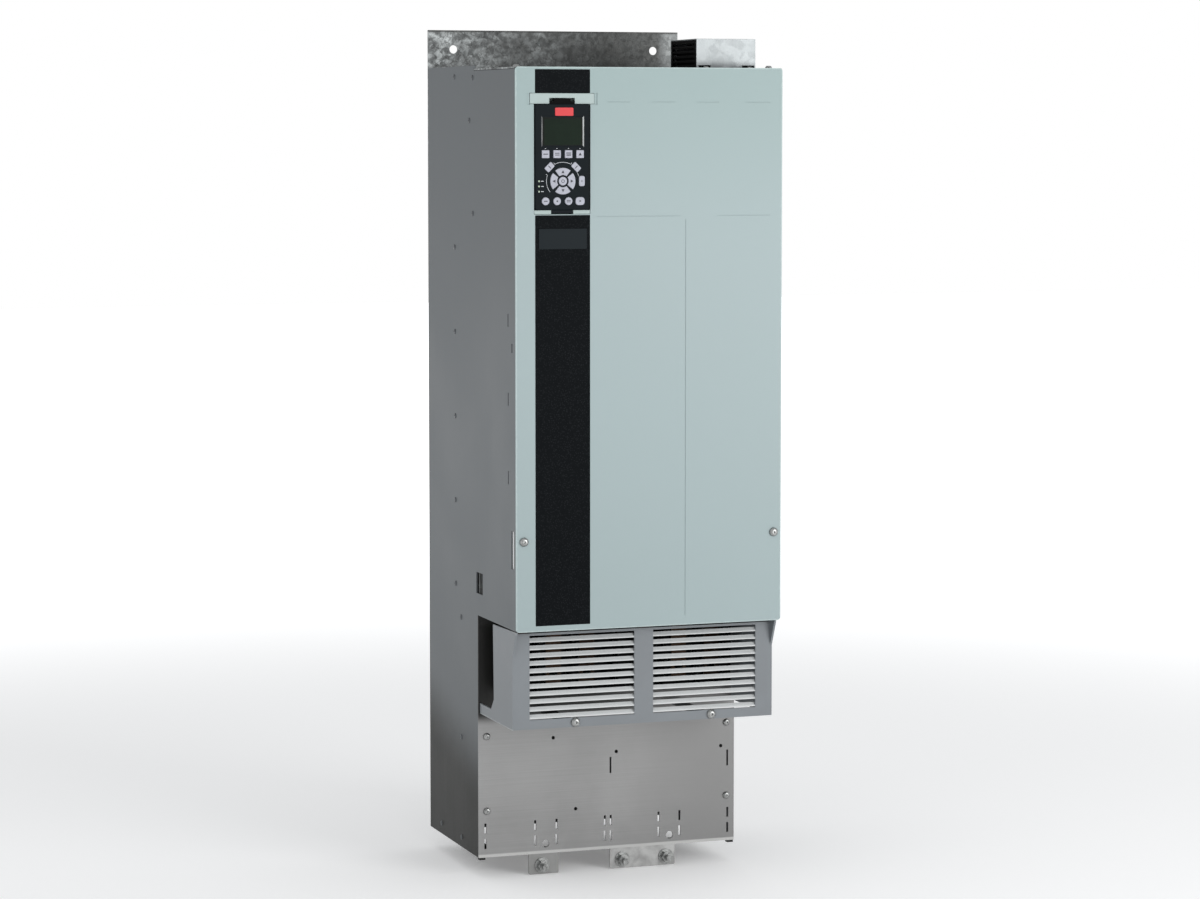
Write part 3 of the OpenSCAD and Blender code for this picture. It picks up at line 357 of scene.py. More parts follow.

# %% [markdown]
# ## Finishes
# `finish` lays any number of effects over a plain colour. Each layer says how much it changes
# the tone, how much it changes the roughness and how deep its relief is. The stain helper mixes
# a second colour in where a mask says so: for darker zinc, for a rubbed edge, and for painted
# shade where a surface is darkened in place of real shade. Constant values go straight to the
# shader's own sockets.

# %% How a finish is made
def layer(group, tone=0.0, gloss=0.0, relief=0.0, **sizes):
    return {"group": group, "tone": tone, "gloss": gloss, "relief": relief, "sizes": sizes}


def placed(tree, group, sizes, place):
    made = add(tree, "ShaderNodeGroup", node_tree=group)
    tree.links.new(place, made.inputs["Vector"])
    for label, value in sizes.items():
        made.inputs[label].default_value = value
    return made.outputs["Shade"]


def finish(name, color, roughness, metallic=0.0, layers=(), stains_and_painted_shade=(), coat=0.0, specular=0.5):
    material = bpy.data.materials.new(name)
    material.use_nodes = True
    material.diffuse_color = (*color, 1)
    tree = material.node_tree
    shader = tree.nodes["Principled BSDF"]
    shader.inputs["Metallic"].default_value = metallic
    shader.inputs["Coat Weight"].default_value = coat
    shader.inputs["Specular IOR Level"].default_value = specular
    place = add(tree, "ShaderNodeTexCoord").outputs["Object"]
    tint = (*color, 1)
    rough = roughness - sum(one["gloss"] for one in layers) / 2
    normal = None
    for one in layers:
        shade = placed(tree, one["group"], one["sizes"], place)
        if one["tone"]:
            tint = add(tree, "ShaderNodeMix", {0: one["tone"], 6: tint, 7: shade},
                       data_type="RGBA", blend_type="OVERLAY").outputs[2]
        if one["gloss"]:
            rough = maths(tree, "MULTIPLY_ADD", shade, one["gloss"], rough)
        if one["relief"]:
            sockets = {"Height": shade, "Distance": one["relief"], "Strength": 1.0}
            if normal:
                sockets["Normal"] = normal
            normal = add(tree, "ShaderNodeBump", sockets).outputs[0]
    for one in stains_and_painted_shade:
        mask = maths(tree, "MULTIPLY", placed(tree, one["group"], one["sizes"], place),
                     one["amount"])
        tint = add(tree, "ShaderNodeMix", {0: mask, 6: tint, 7: (*one["color"], 1)},
                   data_type="RGBA").outputs[2]
    for socket, value in (("Base Color", tint), ("Roughness", rough), ("Normal", normal)):
        if isinstance(value, bpy.types.NodeSocket):
            tree.links.new(value, shader.inputs[socket])
        elif value is not None:
            shader.inputs[socket].default_value = value
    return material


# Mixes a colour in by a mask: a real stain or wear on some finishes, painted shade on others.
def stain_or_painted_shade(group, color, amount=1.0, **sizes):
    return {"group": group, "color": color, "amount": amount, "sizes": sizes}


def wrap(*nodes):
    """Sizes for edge_wear that fit the box of these nodes."""
    corners = [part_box(node) for node in nodes]
    return {"Low": Vector([min(low[i] for low, _ in corners) for i in range(3)]),
            "High": Vector([max(high[i] for _, high in corners) for i in range(3)])}


print("finishes are made of layers and stains")

# %% [markdown]
# ### Metals
# The flange and back are hot-dip zinc, whose crystals show as cloudy flakes, and which turns
# darker towards the lower right. The sides are plain zinc sheet with a satin skin, the left one
# darker low down.
# The duct's lower plate is brushed stainless steel, and the hood is bright zinc. Screws and
# nuts are plated, the bars inside are rolled copper, and the heat sink is raw aluminium.

# %% Metal finishes
back_low, back_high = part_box("back_panel")
zinc_sheet = finish(
    "zinc_sheet", (0.225, 0.237, 0.237), 0.46, metallic=0.5, specular=0.35,
    layers=[layer(spangle, tone=0.5, gloss=0.2, relief=0.00002, Size=0.0045),
            layer(clouds, tone=0.6, gloss=0.12, Size=0.045, Sharpness=0.26),
            layer(clouds, tone=0.5, Size=0.009, Sharpness=0.34),
            layer(grain, tone=0.4, Size=0.0013)],
    stains_and_painted_shade=[stain_or_painted_shade(seams, (0.020, 0.020, 0.019), 0.8, Size=0.007),
            stain_or_painted_shade(fade, (0.035, 0.036, 0.034), 0.88, Along=(1.0, 0.0, -0.9),
                  Start=back_low.x + 0.02 - 0.9 * back_high.z,
                  End=back_low.x + 0.27 - 0.9 * back_high.z, Breakup=0.16),
            stain_or_painted_shade(fade, (0.20, 0.21, 0.21), 0.8, Along=(1.0, 0.0, 0.0),
                  Start=back_high.x - 0.030, End=back_high.x - 0.012, Breakup=0.02),
            stain_or_painted_shade(fade, (0.045, 0.046, 0.044), 0.85, Along=(0.0, 0.0, 1.0),
                  Start=back_high.z - 0.0030, End=back_high.z - 0.0014, Breakup=0.001)])
# A darker copy of the zinc sheet for the bottom and base plates: painted shade for the inside of
# the cabinet.
inner_zinc_painted_shade = finish(
    "inner_zinc_painted_shade", (0.13, 0.137, 0.137), 0.45, metallic=0.4, specular=0.25,
    layers=[layer(spangle, tone=0.3, gloss=0.18, relief=0.00001, Size=0.009),
            layer(clouds, tone=0.3, gloss=0.1, Size=0.1, Sharpness=0.2)])
SIDE = (0.129, 0.140, 0.147)
side_skin = [layer(lines, tone=0.05, gloss=0.08, relief=0.000002, Stretch=(900.0, 900.0, 6.0)),
             layer(clouds, tone=0.1, gloss=0.14, Size=0.22, Sharpness=0.15),
             layer(grain, tone=0.06, gloss=0.06, Size=0.002)]
side_sheet = finish(
    "side_sheet", SIDE, 0.42, metallic=0.3, specular=0.1, layers=side_skin,
    stains_and_painted_shade=[stain_or_painted_shade(fade, (0.013, 0.013, 0.0105), 0.97, Along=(0.0, 0.25, -1.0), Start=-0.235,
                  End=-0.12, Breakup=0.02)])
side_plain = finish("side_plain", SIDE, 0.42, metallic=0.3, specular=0.1, layers=side_skin)
duct_steel = finish(
    "duct_steel", (0.258, 0.257, 0.255), 0.4, metallic=0.55,
    layers=[layer(lines, tone=0.16, gloss=0.2, relief=0.000004, Stretch=(8.0, 40.0, 1500.0)),
            layer(clouds, tone=0.12, gloss=0.1, Size=0.15, Sharpness=0.2)],
    # The first band paints the plate near black above 0.186 m, blending from 0.170 m: painted
    # shade where it runs behind the terminal cover.
    stains_and_painted_shade=[stain_or_painted_shade(fade, (0.012, 0.012, 0.011), 0.98, Along=(0.0, 0.0, 1.0), Start=0.170,
                  End=0.186, Breakup=0.0),
            stain_or_painted_shade(fade, (0.205, 0.204, 0.202), 0.85, Along=(1.0, 0.0, 0.0), Start=-0.03,
                  End=0.15, Breakup=0.02),
            stain_or_painted_shade(fade, (0.50, 0.50, 0.49), 0.8, Along=(0.0, 0.0, -1.0), Start=-0.0045,
                  End=-0.0030, Breakup=0.001)])
tab_zinc = finish(
    "tab_zinc", (0.37, 0.37, 0.365), 0.36, metallic=0.6,
    layers=[layer(clouds, tone=0.2, gloss=0.12, Size=0.02), layer(grain, tone=0.15, Size=0.001)],
    stains_and_painted_shade=[stain_or_painted_shade(fade, (0.24, 0.24, 0.235), 0.8, Along=(-1.0, 0.0, 0.0), Start=0.02,
                  End=0.06)])
hood_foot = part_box("fan_hood")[0].z
bright_zinc = finish(
    "bright_zinc", (0.262, 0.281, 0.286), 0.38, metallic=0.5,
    layers=[layer(spangle, tone=0.14, gloss=0.15, relief=0.00001, Size=0.010),
            layer(clouds, tone=0.2, gloss=0.1, Size=0.012)],
    # Dark below the hood's foot, blending over 12 mm above it: painted shade where the hood stands
    # on the roof.
    stains_and_painted_shade=[stain_or_painted_shade(fade, (0.06, 0.065, 0.07), 0.85, Along=(0.0, 0.0, -1.0),
                  Start=-hood_foot - 0.012, End=-hood_foot, Breakup=0.004)])
plated_steel = finish(
    "plated_steel", (0.31, 0.315, 0.31), 0.33, metallic=0.95,
    layers=[layer(clouds, tone=0.25, gloss=0.2, Size=0.004), layer(grain, gloss=0.1, Size=0.0006)])
copper_bar = finish(
    "copper_bar", (0.55, 0.30, 0.17), 0.34, metallic=1.0,
    layers=[layer(lines, tone=0.15, gloss=0.18, relief=0.000002, Stretch=(40.0, 40.0, 900.0)),
            layer(clouds, tone=0.10, gloss=0.14, Size=0.12, Sharpness=0.1)],
    # Near black below 0.32 m, blending up to 0.36 m: painted shade on the bars behind the terminal
    # cover.
    stains_and_painted_shade=[stain_or_painted_shade(fade, (0.013, 0.010, 0.008), 0.97, Along=(0.0, 0.0, -1.0), Start=-0.36,
                  End=-0.32, Breakup=0.01)])
heat_sink_aluminium = finish(
    "heat_sink_aluminium", (0.60, 0.61, 0.62), 0.36, metallic=0.9,
    layers=[layer(lines, tone=0.2, gloss=0.16, relief=0.00001, Stretch=(900.0, 900.0, 12.0)),
            layer(clouds, tone=0.15, gloss=0.1, Size=0.05)])
brass_post = finish(
    "brass_post", (0.66, 0.50, 0.24), 0.28, metallic=1.0,
    layers=[layer(lines, tone=0.15, gloss=0.12, Stretch=(60.0, 2500.0, 60.0))])
print("eleven metals")

# %% [markdown]
# ### Paints, plastics and boards
# The covers are powder coated, which dries to a fine orange peel. The stripe is a printed film
# with light flecks, and the name plate is a smoother film. The keypad is moulded with a faint
# spark grain. The boards have a glossy solder mask over a woven glass core.

# %% Paint, film and plastic finishes
cover_paint = finish(
    "cover_paint", (0.274, 0.342, 0.348), 0.43,
    layers=[layer(grain, tone=0.035, gloss=0.12, relief=0.00004, Size=0.0011),
            layer(clouds, tone=0.03, gloss=0.08, Size=0.3, Sharpness=0.1)],
    # The first band turns the cover darker from 0.76 m up to its top: painted shade towards the
    # top of the cover.
    stains_and_painted_shade=[stain_or_painted_shade(fade, (0.236, 0.315, 0.312), 0.9, Along=(0.0, 0.0, 1.0), Start=0.76,
                  End=1.02),
            stain_or_painted_shade(wear, (0.52, 0.61, 0.60), 0.5, Width=0.0016, **wrap("front_cover"))])
terminal_paint = finish(
    "terminal_paint", (0.166, 0.181, 0.194), 0.42,
    layers=[layer(grain, tone=0.04, gloss=0.12, relief=0.00004, Size=0.0011),
            layer(clouds, tone=0.06, gloss=0.08, Size=0.12)],
    stains_and_painted_shade=[stain_or_painted_shade(wear, (0.42, 0.44, 0.45), 0.6, Width=0.0014, **wrap("terminal_cover"))])
# A much lighter grey than the terminal cover's paint: painted highlight on the slats, which face
# up into the light.
slat_paint_painted_highlight = finish(
    "slat_paint_painted_highlight", (0.60, 0.615, 0.615), 0.4,
    layers=[layer(grain, tone=0.04, gloss=0.12, relief=0.00003, Size=0.0011)])
black_film = finish(
    "black_film", (0.0036, 0.0046, 0.0055), 0.5, specular=0.03,
    layers=[layer(grain, gloss=0.2, relief=0.00003, Size=0.0014)],
    stains_and_painted_shade=[stain_or_painted_shade(speckle, (0.050, 0.054, 0.058), 0.6, Size=0.0021)])
plate_film = finish(
    "plate_film", (0.0100, 0.0140, 0.0165), 0.4, specular=0.06,
    layers=[layer(grain, gloss=0.1, relief=0.00001, Size=0.0008)])
cradle_plastic = finish(
    "cradle_plastic", (0.322, 0.395, 0.384), 0.46,
    layers=[layer(grain, tone=0.03, gloss=0.08, relief=0.00002, Size=0.0009)])
keypad_plastic = finish(
    "keypad_plastic", (0.0072, 0.0100, 0.0120), 0.5, specular=0.05,
    layers=[layer(grain, tone=0.2, gloss=0.14, relief=0.00003, Size=0.0007),
            layer(clouds, tone=0.12, gloss=0.1, Size=0.03)],
    # The band paints the housing's rightmost 1.3 mm near black: painted shadow in the gap beside
    # the keypad.
    stains_and_painted_shade=[stain_or_painted_shade(fade, (0.0015, 0.0018, 0.0022), 0.9, Along=(1.0, 0.0, 0.0),
                  Start=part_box("lcp_housing")[1].x - 0.0019,
                  End=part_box("lcp_housing")[1].x - 0.0013)])
key_plastic = finish(
    "key_plastic", (0.330, 0.338, 0.392), 0.45,
    layers=[layer(grain, tone=0.04, gloss=0.1, relief=0.00001, Size=0.0006),
            layer(clouds, tone=0.08, gloss=0.08, Size=0.008)])
display_dark = finish(
    "display_dark", (0.0055, 0.0075, 0.0058), 0.2, specular=0.04,
    layers=[layer(clouds, tone=0.1, gloss=0.08, Size=0.03)])
display_olive = finish(
    "display_olive", (0.0070, 0.0135, 0.0085), 0.24, specular=0.03,
    layers=[layer(lines, tone=0.08, Stretch=(2600.0, 60.0, 60.0)),
            layer(clouds, tone=0.15, gloss=0.08, Size=0.03)])
lamp_plastic = finish(
    "lamp_plastic", (0.16, 0.22, 0.14), 0.25, coat=0.4,
    layers=[layer(clouds, tone=0.2, gloss=0.1, Size=0.003)])
badge_red = finish(
    "badge_red", (0.55, 0.020, 0.026), 0.34, specular=0.3,
    layers=[layer(grain, tone=0.05, gloss=0.08, Size=0.0008)])
key_ink = finish(
    "key_ink", (0.014, 0.015, 0.024), 0.55,
    layers=[layer(grain, tone=0.1, gloss=0.08, Size=0.0005)])
face_ink = finish(
    "face_ink", (0.55, 0.57, 0.60), 0.5,
    layers=[layer(grain, tone=0.1, gloss=0.08, Size=0.0005)])
# One clear plastic in two tones for the frame's side slopes: the pale one is a painted highlight,
# the dim one painted shade.
bezel_painted_highlight = finish(
    "bezel_painted_highlight", (0.40, 0.41, 0.41), 0.16, specular=0.4,
    layers=[layer(clouds, tone=0.1, gloss=0.06, Size=0.01)])
bezel_painted_shade = finish(
    "bezel_painted_shade", (0.085, 0.088, 0.090), 0.2, specular=0.3,
    layers=[layer(clouds, tone=0.1, gloss=0.06, Size=0.01)])
# Near white and not metallic: painted highlight, so the zinc rails seen through the side slots
# look bright.
rail_painted_highlight = finish(
    "rail_painted_highlight", (0.93, 0.94, 0.93), 0.5, metallic=0.0,
    layers=[layer(clouds, tone=0.1, gloss=0.1, Size=0.03)])
black_plastic = finish(
    "black_plastic", (0.0016, 0.0016, 0.0018), 0.42, specular=0.035,
    layers=[layer(grain, gloss=0.14, relief=0.00002, Size=0.0009),
            layer(clouds, gloss=0.1, Size=0.03)])
rotor_black = finish(
    "rotor_black", (0.018, 0.018, 0.020), 0.36, specular=0.25,
    layers=[layer(grain, gloss=0.1, relief=0.00001, Size=0.0009),
            layer(clouds, tone=0.2, gloss=0.12, Size=0.02)])
black_rubber = finish(
    "black_rubber", (0.010, 0.010, 0.010), 0.7,
    layers=[layer(grain, gloss=0.12, relief=0.00003, Size=0.0007)])
module_case = finish(
    "module_case", (0.035, 0.037, 0.042), 0.5,
    layers=[layer(grain, tone=0.15, gloss=0.12, relief=0.00002, Size=0.0008)])
can_sleeve = finish(
    "can_sleeve", (0.016, 0.019, 0.026), 0.3, coat=0.3,
    layers=[layer(clouds, tone=0.2, gloss=0.12, relief=0.00006, Size=0.015)])
sensor_blue = finish(
    "sensor_blue", (0.020, 0.035, 0.10), 0.42,
    layers=[layer(grain, gloss=0.12, relief=0.00002, Size=0.0008)])


def board(name, front):
    """Solder mask on a board, with the parts that stand in front of its face dark."""
    return finish(
        name, (0.012, 0.11, 0.050), 0.3, coat=0.35,
        layers=[layer(lines, tone=0.15, relief=0.000004, Stretch=(900.0, 20.0, 20.0)),
                layer(lines, tone=0.15, relief=0.000004, Stretch=(20.0, 20.0, 900.0)),
                layer(clouds, tone=0.05, gloss=0.1, Size=0.06, Sharpness=0.1)],
        stains_and_painted_shade=[stain_or_painted_shade(fade, (0.020, 0.021, 0.024), 1.0, Along=(0.0, -1.0, 0.0), Start=front,
                      End=front + 0.2 * MM)])


board_green = board("board_green", -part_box("lcp_housing")[0].y)
power_board = board("power_board", -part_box("power_card")[1].y + 1.8 * MM)
control_board = board("control_board", -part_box("control_card")[1].y + 2.3 * MM)
print("paint, film, plastic and board finishes")
# %% [markdown]
# ## Pieces from the engineering model
# A folded or moulded edge is never knife sharp, and the thin line of light along it is much of
# what makes sheet metal look real. `softened` copies a node's mesh, merges its loose
# triangles, clears the lines between flat faces and rounds the edges that are left. The piece
# then stands for its node. Nodes that nobody sees closely keep their own mesh and get a
# finish.

# %% Copies with rounded edges
def merged_copy(node):
    """The node's mesh with its loose triangles joined and its flat faces whole."""
    copy = bmesh.new()
    copy.from_mesh(frame["nodes"][node].data)
    bmesh.ops.remove_doubles(copy, verts=copy.verts, dist=0.002 * MM)
    bmesh.ops.dissolve_limit(copy, angle_limit=math.radians(0.5), verts=copy.verts,
                             edges=copy.edges)
    return copy


def round_edges(shape, width, steps=2, pick=None, angle=35):
    """Rounds the sharp edges, or only those that pick() takes."""
    sharp = [edge for edge in shape.edges
             if edge.is_manifold and edge.calc_face_angle(0) > math.radians(angle)
             and (pick is None or pick(edge))]
    bmesh.ops.bevel(shape, geom=sharp, offset=width, offset_type="OFFSET", segments=steps,
                    profile=0.5, affect="EDGES", clamp_overlap=True)
    return len(sharp)


def weigh_normals(made):
    """Lets the large faces set the shading at their corners, so flat sheet stays flat."""
    modifier = made.modifiers.new("weigh", "WEIGHTED_NORMAL")
    modifier.mode = "FACE_AREA"
    modifier.weight = 100
    modifier.keep_sharp = True
    bpy.context.view_layer.update()
    flat = made.evaluated_get(bpy.context.evaluated_depsgraph_get())
    old, made.data = made.data, bpy.data.meshes.new_from_object(
        flat, preserve_all_data_layers=True, depsgraph=bpy.context.evaluated_depsgraph_get())
    made.modifiers.remove(modifier)
    bpy.data.meshes.remove(old)


def piece(name, shape, materials, body="chassis", nodes=()):
    """Makes the object, at the origin, with smooth faces and crisp edges, riding on its body."""
    if isinstance(shape, bmesh.types.BMesh):
        mesh = bpy.data.meshes.new(name)
        shape.to_mesh(mesh)
        shape.free()
    else:
        mesh = shape
        mesh.name = name
    if not isinstance(materials, (list, tuple)):
        materials = [materials]
    if not mesh.materials:
        for material in materials:
            mesh.materials.append(material)
    mesh.shade_smooth()
    mesh.set_sharp_from_angle(angle=math.radians(50))
    made = bpy.data.objects.new(name, mesh)
    bpy.context.scene.collection.objects.link(made)
    weigh_normals(made)
    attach(made, body)
    if nodes:
        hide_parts(*nodes)
    return made


def softened(node, width, material, steps=2, pick=None):
    shape = merged_copy(node)
    count = round_edges(shape, width, steps, pick)
    made = piece(node + "_finished", shape, material, frame["nodes"][node]["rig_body"],
                 [node])
    print(f"{node}: {count} edges rounded by {width / MM:.2f} mm, {len(made.data.polygons)} faces")
    return made


print("copies keep the node's own body")

# %% Solids drawn from an outline
def prism(outline, back, front, shape=None):
    """An X-Z outline stood up between two depths, front being the smaller Y."""
    shape = shape or bmesh.new()
    rear = [shape.verts.new((x, back, z)) for x, z in outline]
    fore = [shape.verts.new((x, front, z)) for x, z in outline]
    made = [shape.faces.new(rear), shape.faces.new(fore[::-1])]
    for i, corner in enumerate(rear):
        j = (i + 1) % len(rear)
        made.append(shape.faces.new((corner, fore[i], fore[j], rear[j])))
    bmesh.ops.recalc_face_normals(shape, faces=made)
    return shape


def rounded_rectangle(centre, width, height, radius, steps=5, turn=0.0):
    """Corner points of a rounded rectangle, turned about its centre."""
    points = []
    for corner, start in enumerate((0, 90, 180, 270)):
        side_x = 1 if corner in (0, 3) else -1
        side_z = 1 if corner in (0, 1) else -1
        for step in range(steps + 1):
            angle = math.radians(start + 90 * step / steps)
            points.append((side_x * (width / 2 - radius) + radius * math.cos(angle),
                           side_z * (height / 2 - radius) + radius * math.sin(angle)))
    cos, sin = math.cos(turn), math.sin(turn)
    return [(centre[0] + x * cos - z * sin, centre[1] + x * sin + z * cos) for x, z in points]


def arc_band(centre, inner, outer, start, end, steps=14):
    """Outline of part of a ring, its angles in degrees from +X towards +Z."""
    turns = [math.radians(start + (end - start) * step / steps) for step in range(steps + 1)]
    return ([(centre[0] + outer * math.cos(a), centre[1] + outer * math.sin(a)) for a in turns]
            + [(centre[0] + inner * math.cos(a), centre[1] + inner * math.sin(a))
               for a in reversed(turns)])


def disc(centre, radius, steps=32):
    return [(centre[0] + radius * math.cos(2 * math.pi * step / steps),
             centre[1] + radius * math.sin(2 * math.pi * step / steps)) for step in range(steps)]


def box_between(low, high, shape=None):
    outline = [(low[0], low[2]), (high[0], low[2]), (high[0], high[2]), (low[0], high[2])]
    return prism(outline, high[1], low[1], shape)


print("a rounded rectangle has", len(rounded_rectangle((0, 0), 1, 1, 0.1)), "points")

# %% [markdown]
# ### Sheet metal
# The chassis is cut and folded from sheet. Each panel here is the node's own shape with its
# edges broken by a few tenths of a millimetre, as a punched and tumbled sheet has. The
# alternative, drawing each panel again from sheets with a Solidify modifier, would lose the
# exact holes and slots.

# %% Chassis panels
SHEET_EDGE = 0.35 * MM

for node, material, slot in (
        ("back_panel", zinc_sheet, "zinc_sheet"),
        ("left_side_panel", side_sheet, "side_sheet"),
        ("right_side_panel", side_plain, "side_sheet"),
        ("top_plate", zinc_sheet, "zinc_sheet"),
        ("bottom_plate", inner_zinc_painted_shade, "zinc_sheet"),
        ("duct_front_plate", duct_steel, "duct_steel"),
        ("ground_tabs", tab_zinc, "duct_steel"),
        ("fan_hood", bright_zinc, "bright_zinc"),
        ("cover_rails", rail_painted_highlight, "bright_zinc"),
        ("hood_vent", black_plastic, "black_plastic")):
    softened(node, SHEET_EDGE, material)

# %% [markdown]
# ### Front cover
# The front cover is one large moulded and painted panel. Its outer edge is rounded by about
# two millimetres, which draws the bright line down its side. The lines pressed into its face
# and the shallow pockets at the two ends of the keypad's cradle stay crisp. The pockets are cut
# with a Boolean modifier, because they cross the rim of an opening that is already there.

# %% Front cover
POCKET = Vector((4.0, 0.9, 14.6)) * MM
POCKET_RISE = 0.6 * MM
BAR_HALF = 41.8 * MM
RIM_REACH = 4.2 * MM
RIM_ROUND = 1.9 * MM


def cut(target_shape, cutters):
    """Subtracts closed shapes with a Boolean modifier, and gives the new mesh."""
    holders = []
    for shape in (target_shape, cutters):
        mesh = bpy.data.meshes.new("shape")
        shape.to_mesh(mesh)
        shape.free()
        holders.append(bpy.data.objects.new("shape", mesh))
        bpy.context.scene.collection.objects.link(holders[-1])
    modifier = holders[0].modifiers.new("cut", "BOOLEAN")
    modifier.operation = "DIFFERENCE"
    modifier.solver = "EXACT"
    modifier.object = holders[1]
    bpy.context.view_layer.update()
    ready = bmesh.new()
    ready.from_object(holders[0], bpy.context.evaluated_depsgraph_get())
    for holder in holders:
        bpy.data.objects.remove(holder)
    return ready


cover_low, cover_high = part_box("front_cover")
cradle_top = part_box("lcp_cradle")[1].z
cradle_x = middle("lcp_cradle").x
pockets = bmesh.new()
for side in (-1, 1):
    inner_x = cradle_x + side * (BAR_HALF - 0.4 * MM)
    ends = sorted((inner_x, inner_x + side * POCKET.x))
    box_between((ends[0], cover_low.y - MM, cradle_top - POCKET.z + POCKET_RISE),
                (ends[1], cover_low.y + POCKET.y, cradle_top + POCKET_RISE), pockets)
cover_shape = cut(merged_copy("front_cover"), pockets)


def on_outer_edge(edge):
    """True for the rim of the face, and not for the edges of its openings."""
    spots = [vertex.co for vertex in edge.verts]
    at_face = all(spot.y < cover_low.y + 0.05 * MM for spot in spots)
    at_rim = all(min(spot.x - cover_low.x, cover_high.x - spot.x, spot.z - cover_low.z,
                     cover_high.z - spot.z) < RIM_REACH for spot in spots)
    return at_face and at_rim


rim_edges = round_edges(cover_shape, RIM_ROUND, 4, on_outer_edge)
fine_edges = round_edges(cover_shape, 0.18 * MM, 1,
                         lambda edge: edge.verts[0].co.y < cover_low.y + 1.2 * MM, angle=60)
piece("front_cover_finished", cover_shape, cover_paint, "front_cover", ["front_cover"])
softened("front_stripe", 0.15 * MM, black_film, 1)
softened("name_plate", 0.25 * MM, plate_film)
print(f"front cover: {rim_edges} rim edges and {fine_edges} fine edges rounded")

# %% [markdown]
# ### Screws and rivets
# One Geometry Nodes tree makes every screw head. It grows the head from a disc: the disc is
# extruded and drawn in for the domed head, then its top is pushed down for the socket. The
# finished screw is put on points, and each point carries the direction that its screw faces.
# A seed turns every screw by a random amount, as nobody lines them up. Instances are made
# real at the end, so that each piece is a plain mesh.

# %% Geometry Nodes helpers
def geometry_tree(name, **sizes):
    """A tree with a Geometry input and output, and a named input for each size."""
    tree = bpy.data.node_groups.new(name, "GeometryNodeTree")
    tree.interface.new_socket("Geometry", in_out="INPUT", socket_type="NodeSocketGeometry")
    for label, value in sizes.items():
        kind = ("NodeSocketInt" if isinstance(value, int) else
                "NodeSocketFloat" if isinstance(value, float) else "NodeSocketMaterial")
        socket = tree.interface.new_socket(label, in_out="INPUT", socket_type=kind)
        if kind != "NodeSocketMaterial":
            socket.default_value = value
    tree.interface.new_socket("Geometry", in_out="OUTPUT", socket_type="NodeSocketGeometry")
    return tree, add(tree, "NodeGroupInput").outputs, add(tree, "NodeGroupOutput")


def end_tree(tree, ends, geometry, material):
    """Realize Instances and Set Material close every tree."""
    real = add(tree, "GeometryNodeRealizeInstances", {0: geometry})
    painted = add(tree, "GeometryNodeSetMaterial", {0: real.outputs[0], "Material": material})
    tree.links.new(painted.outputs[0], ends.inputs[0])


def grow(tree, seeds, **values):
    """Runs the tree on a mesh and gives the result as a plain mesh."""
    holder = bpy.data.objects.new("holder", seeds)
    bpy.context.scene.collection.objects.link(holder)
    modifier = holder.modifiers.new("grow", "NODES")
    modifier.node_group = tree
    for item in tree.interface.items_tree:
        if item.item_type == "SOCKET" and item.in_out == "INPUT" and item.name in values:
            modifier[item.identifier] = values[item.name]
    bpy.context.view_layer.update()
    mesh = bpy.data.meshes.new_from_object(
        holder.evaluated_get(bpy.context.evaluated_depsgraph_get()))
    holder.modifiers.remove(modifier)
    bpy.data.objects.remove(holder)
    return mesh


def points(spots):
    """A mesh of points only: each spot is a place and the direction that it faces."""
    mesh = bpy.data.meshes.new("points")
    mesh.from_pydata([place for place, _ in spots], [], [])
    facing = mesh.attributes.new("facing", "FLOAT_VECTOR", "POINT")
    facing.data.foreach_set("vector", [value for _, way in spots for value in way])
    return mesh


def on_points(tree, starts, shape):
    """Puts a shape on every point, standing along its facing and turned at random."""
    facing = add(tree, "GeometryNodeInputNamedAttribute", {"Name": "facing"},
                 data_type="FLOAT_VECTOR")
    stood = add(tree, "FunctionNodeAlignRotationToVector",
                {"Vector": facing.outputs["Attribute"]}, axis="Z")
    chance = add(tree, "FunctionNodeRandomValue", {"Seed": starts["Seed"]}, data_type="FLOAT")
    angle = add(tree, "ShaderNodeMath", {0: chance.outputs[1], 1: math.tau},
                operation="MULTIPLY")
    spin = add(tree, "FunctionNodeAxisAngleToRotation", {"Angle": angle.outputs[0]})
    turned = add(tree, "FunctionNodeRotateRotation",
                 {0: stood.outputs[0], 1: spin.outputs[0]}, rotation_space="LOCAL")
    return add(tree, "GeometryNodeInstanceOnPoints",
               {"Points": starts["Geometry"], "Instance": shape,
                "Rotation": turned.outputs[0]}).outputs[0]


print("trees end in Realize Instances and Set Material")

# %% The screw tree
screw_tree, starts, ends = geometry_tree(
    "screw", **{"Head diameter": 0.008, "Head height": 0.003, "Socket": 0.45,
                "Lobe depth": 0.16, "Shank diameter": 0.004, "Shank length": 0.006, "Sides": 24,
                "Seed": 1, "Material": None})


def step_up(shape, top, height, scale):
    """Extrudes the top face by a height and draws it in, and gives the new top."""
    pulled_up = add(screw_tree, "GeometryNodeExtrudeMesh",
                    {"Mesh": shape, "Selection": top, "Offset Scale": height,
                     "Individual": False}, mode="FACES")
    drawn_in = add(screw_tree, "GeometryNodeScaleElements",
                   {"Geometry": pulled_up.outputs["Mesh"],
                    "Selection": pulled_up.outputs["Top"], "Scale": scale}, domain="FACE")
    return drawn_in.outputs[0], pulled_up.outputs["Top"]


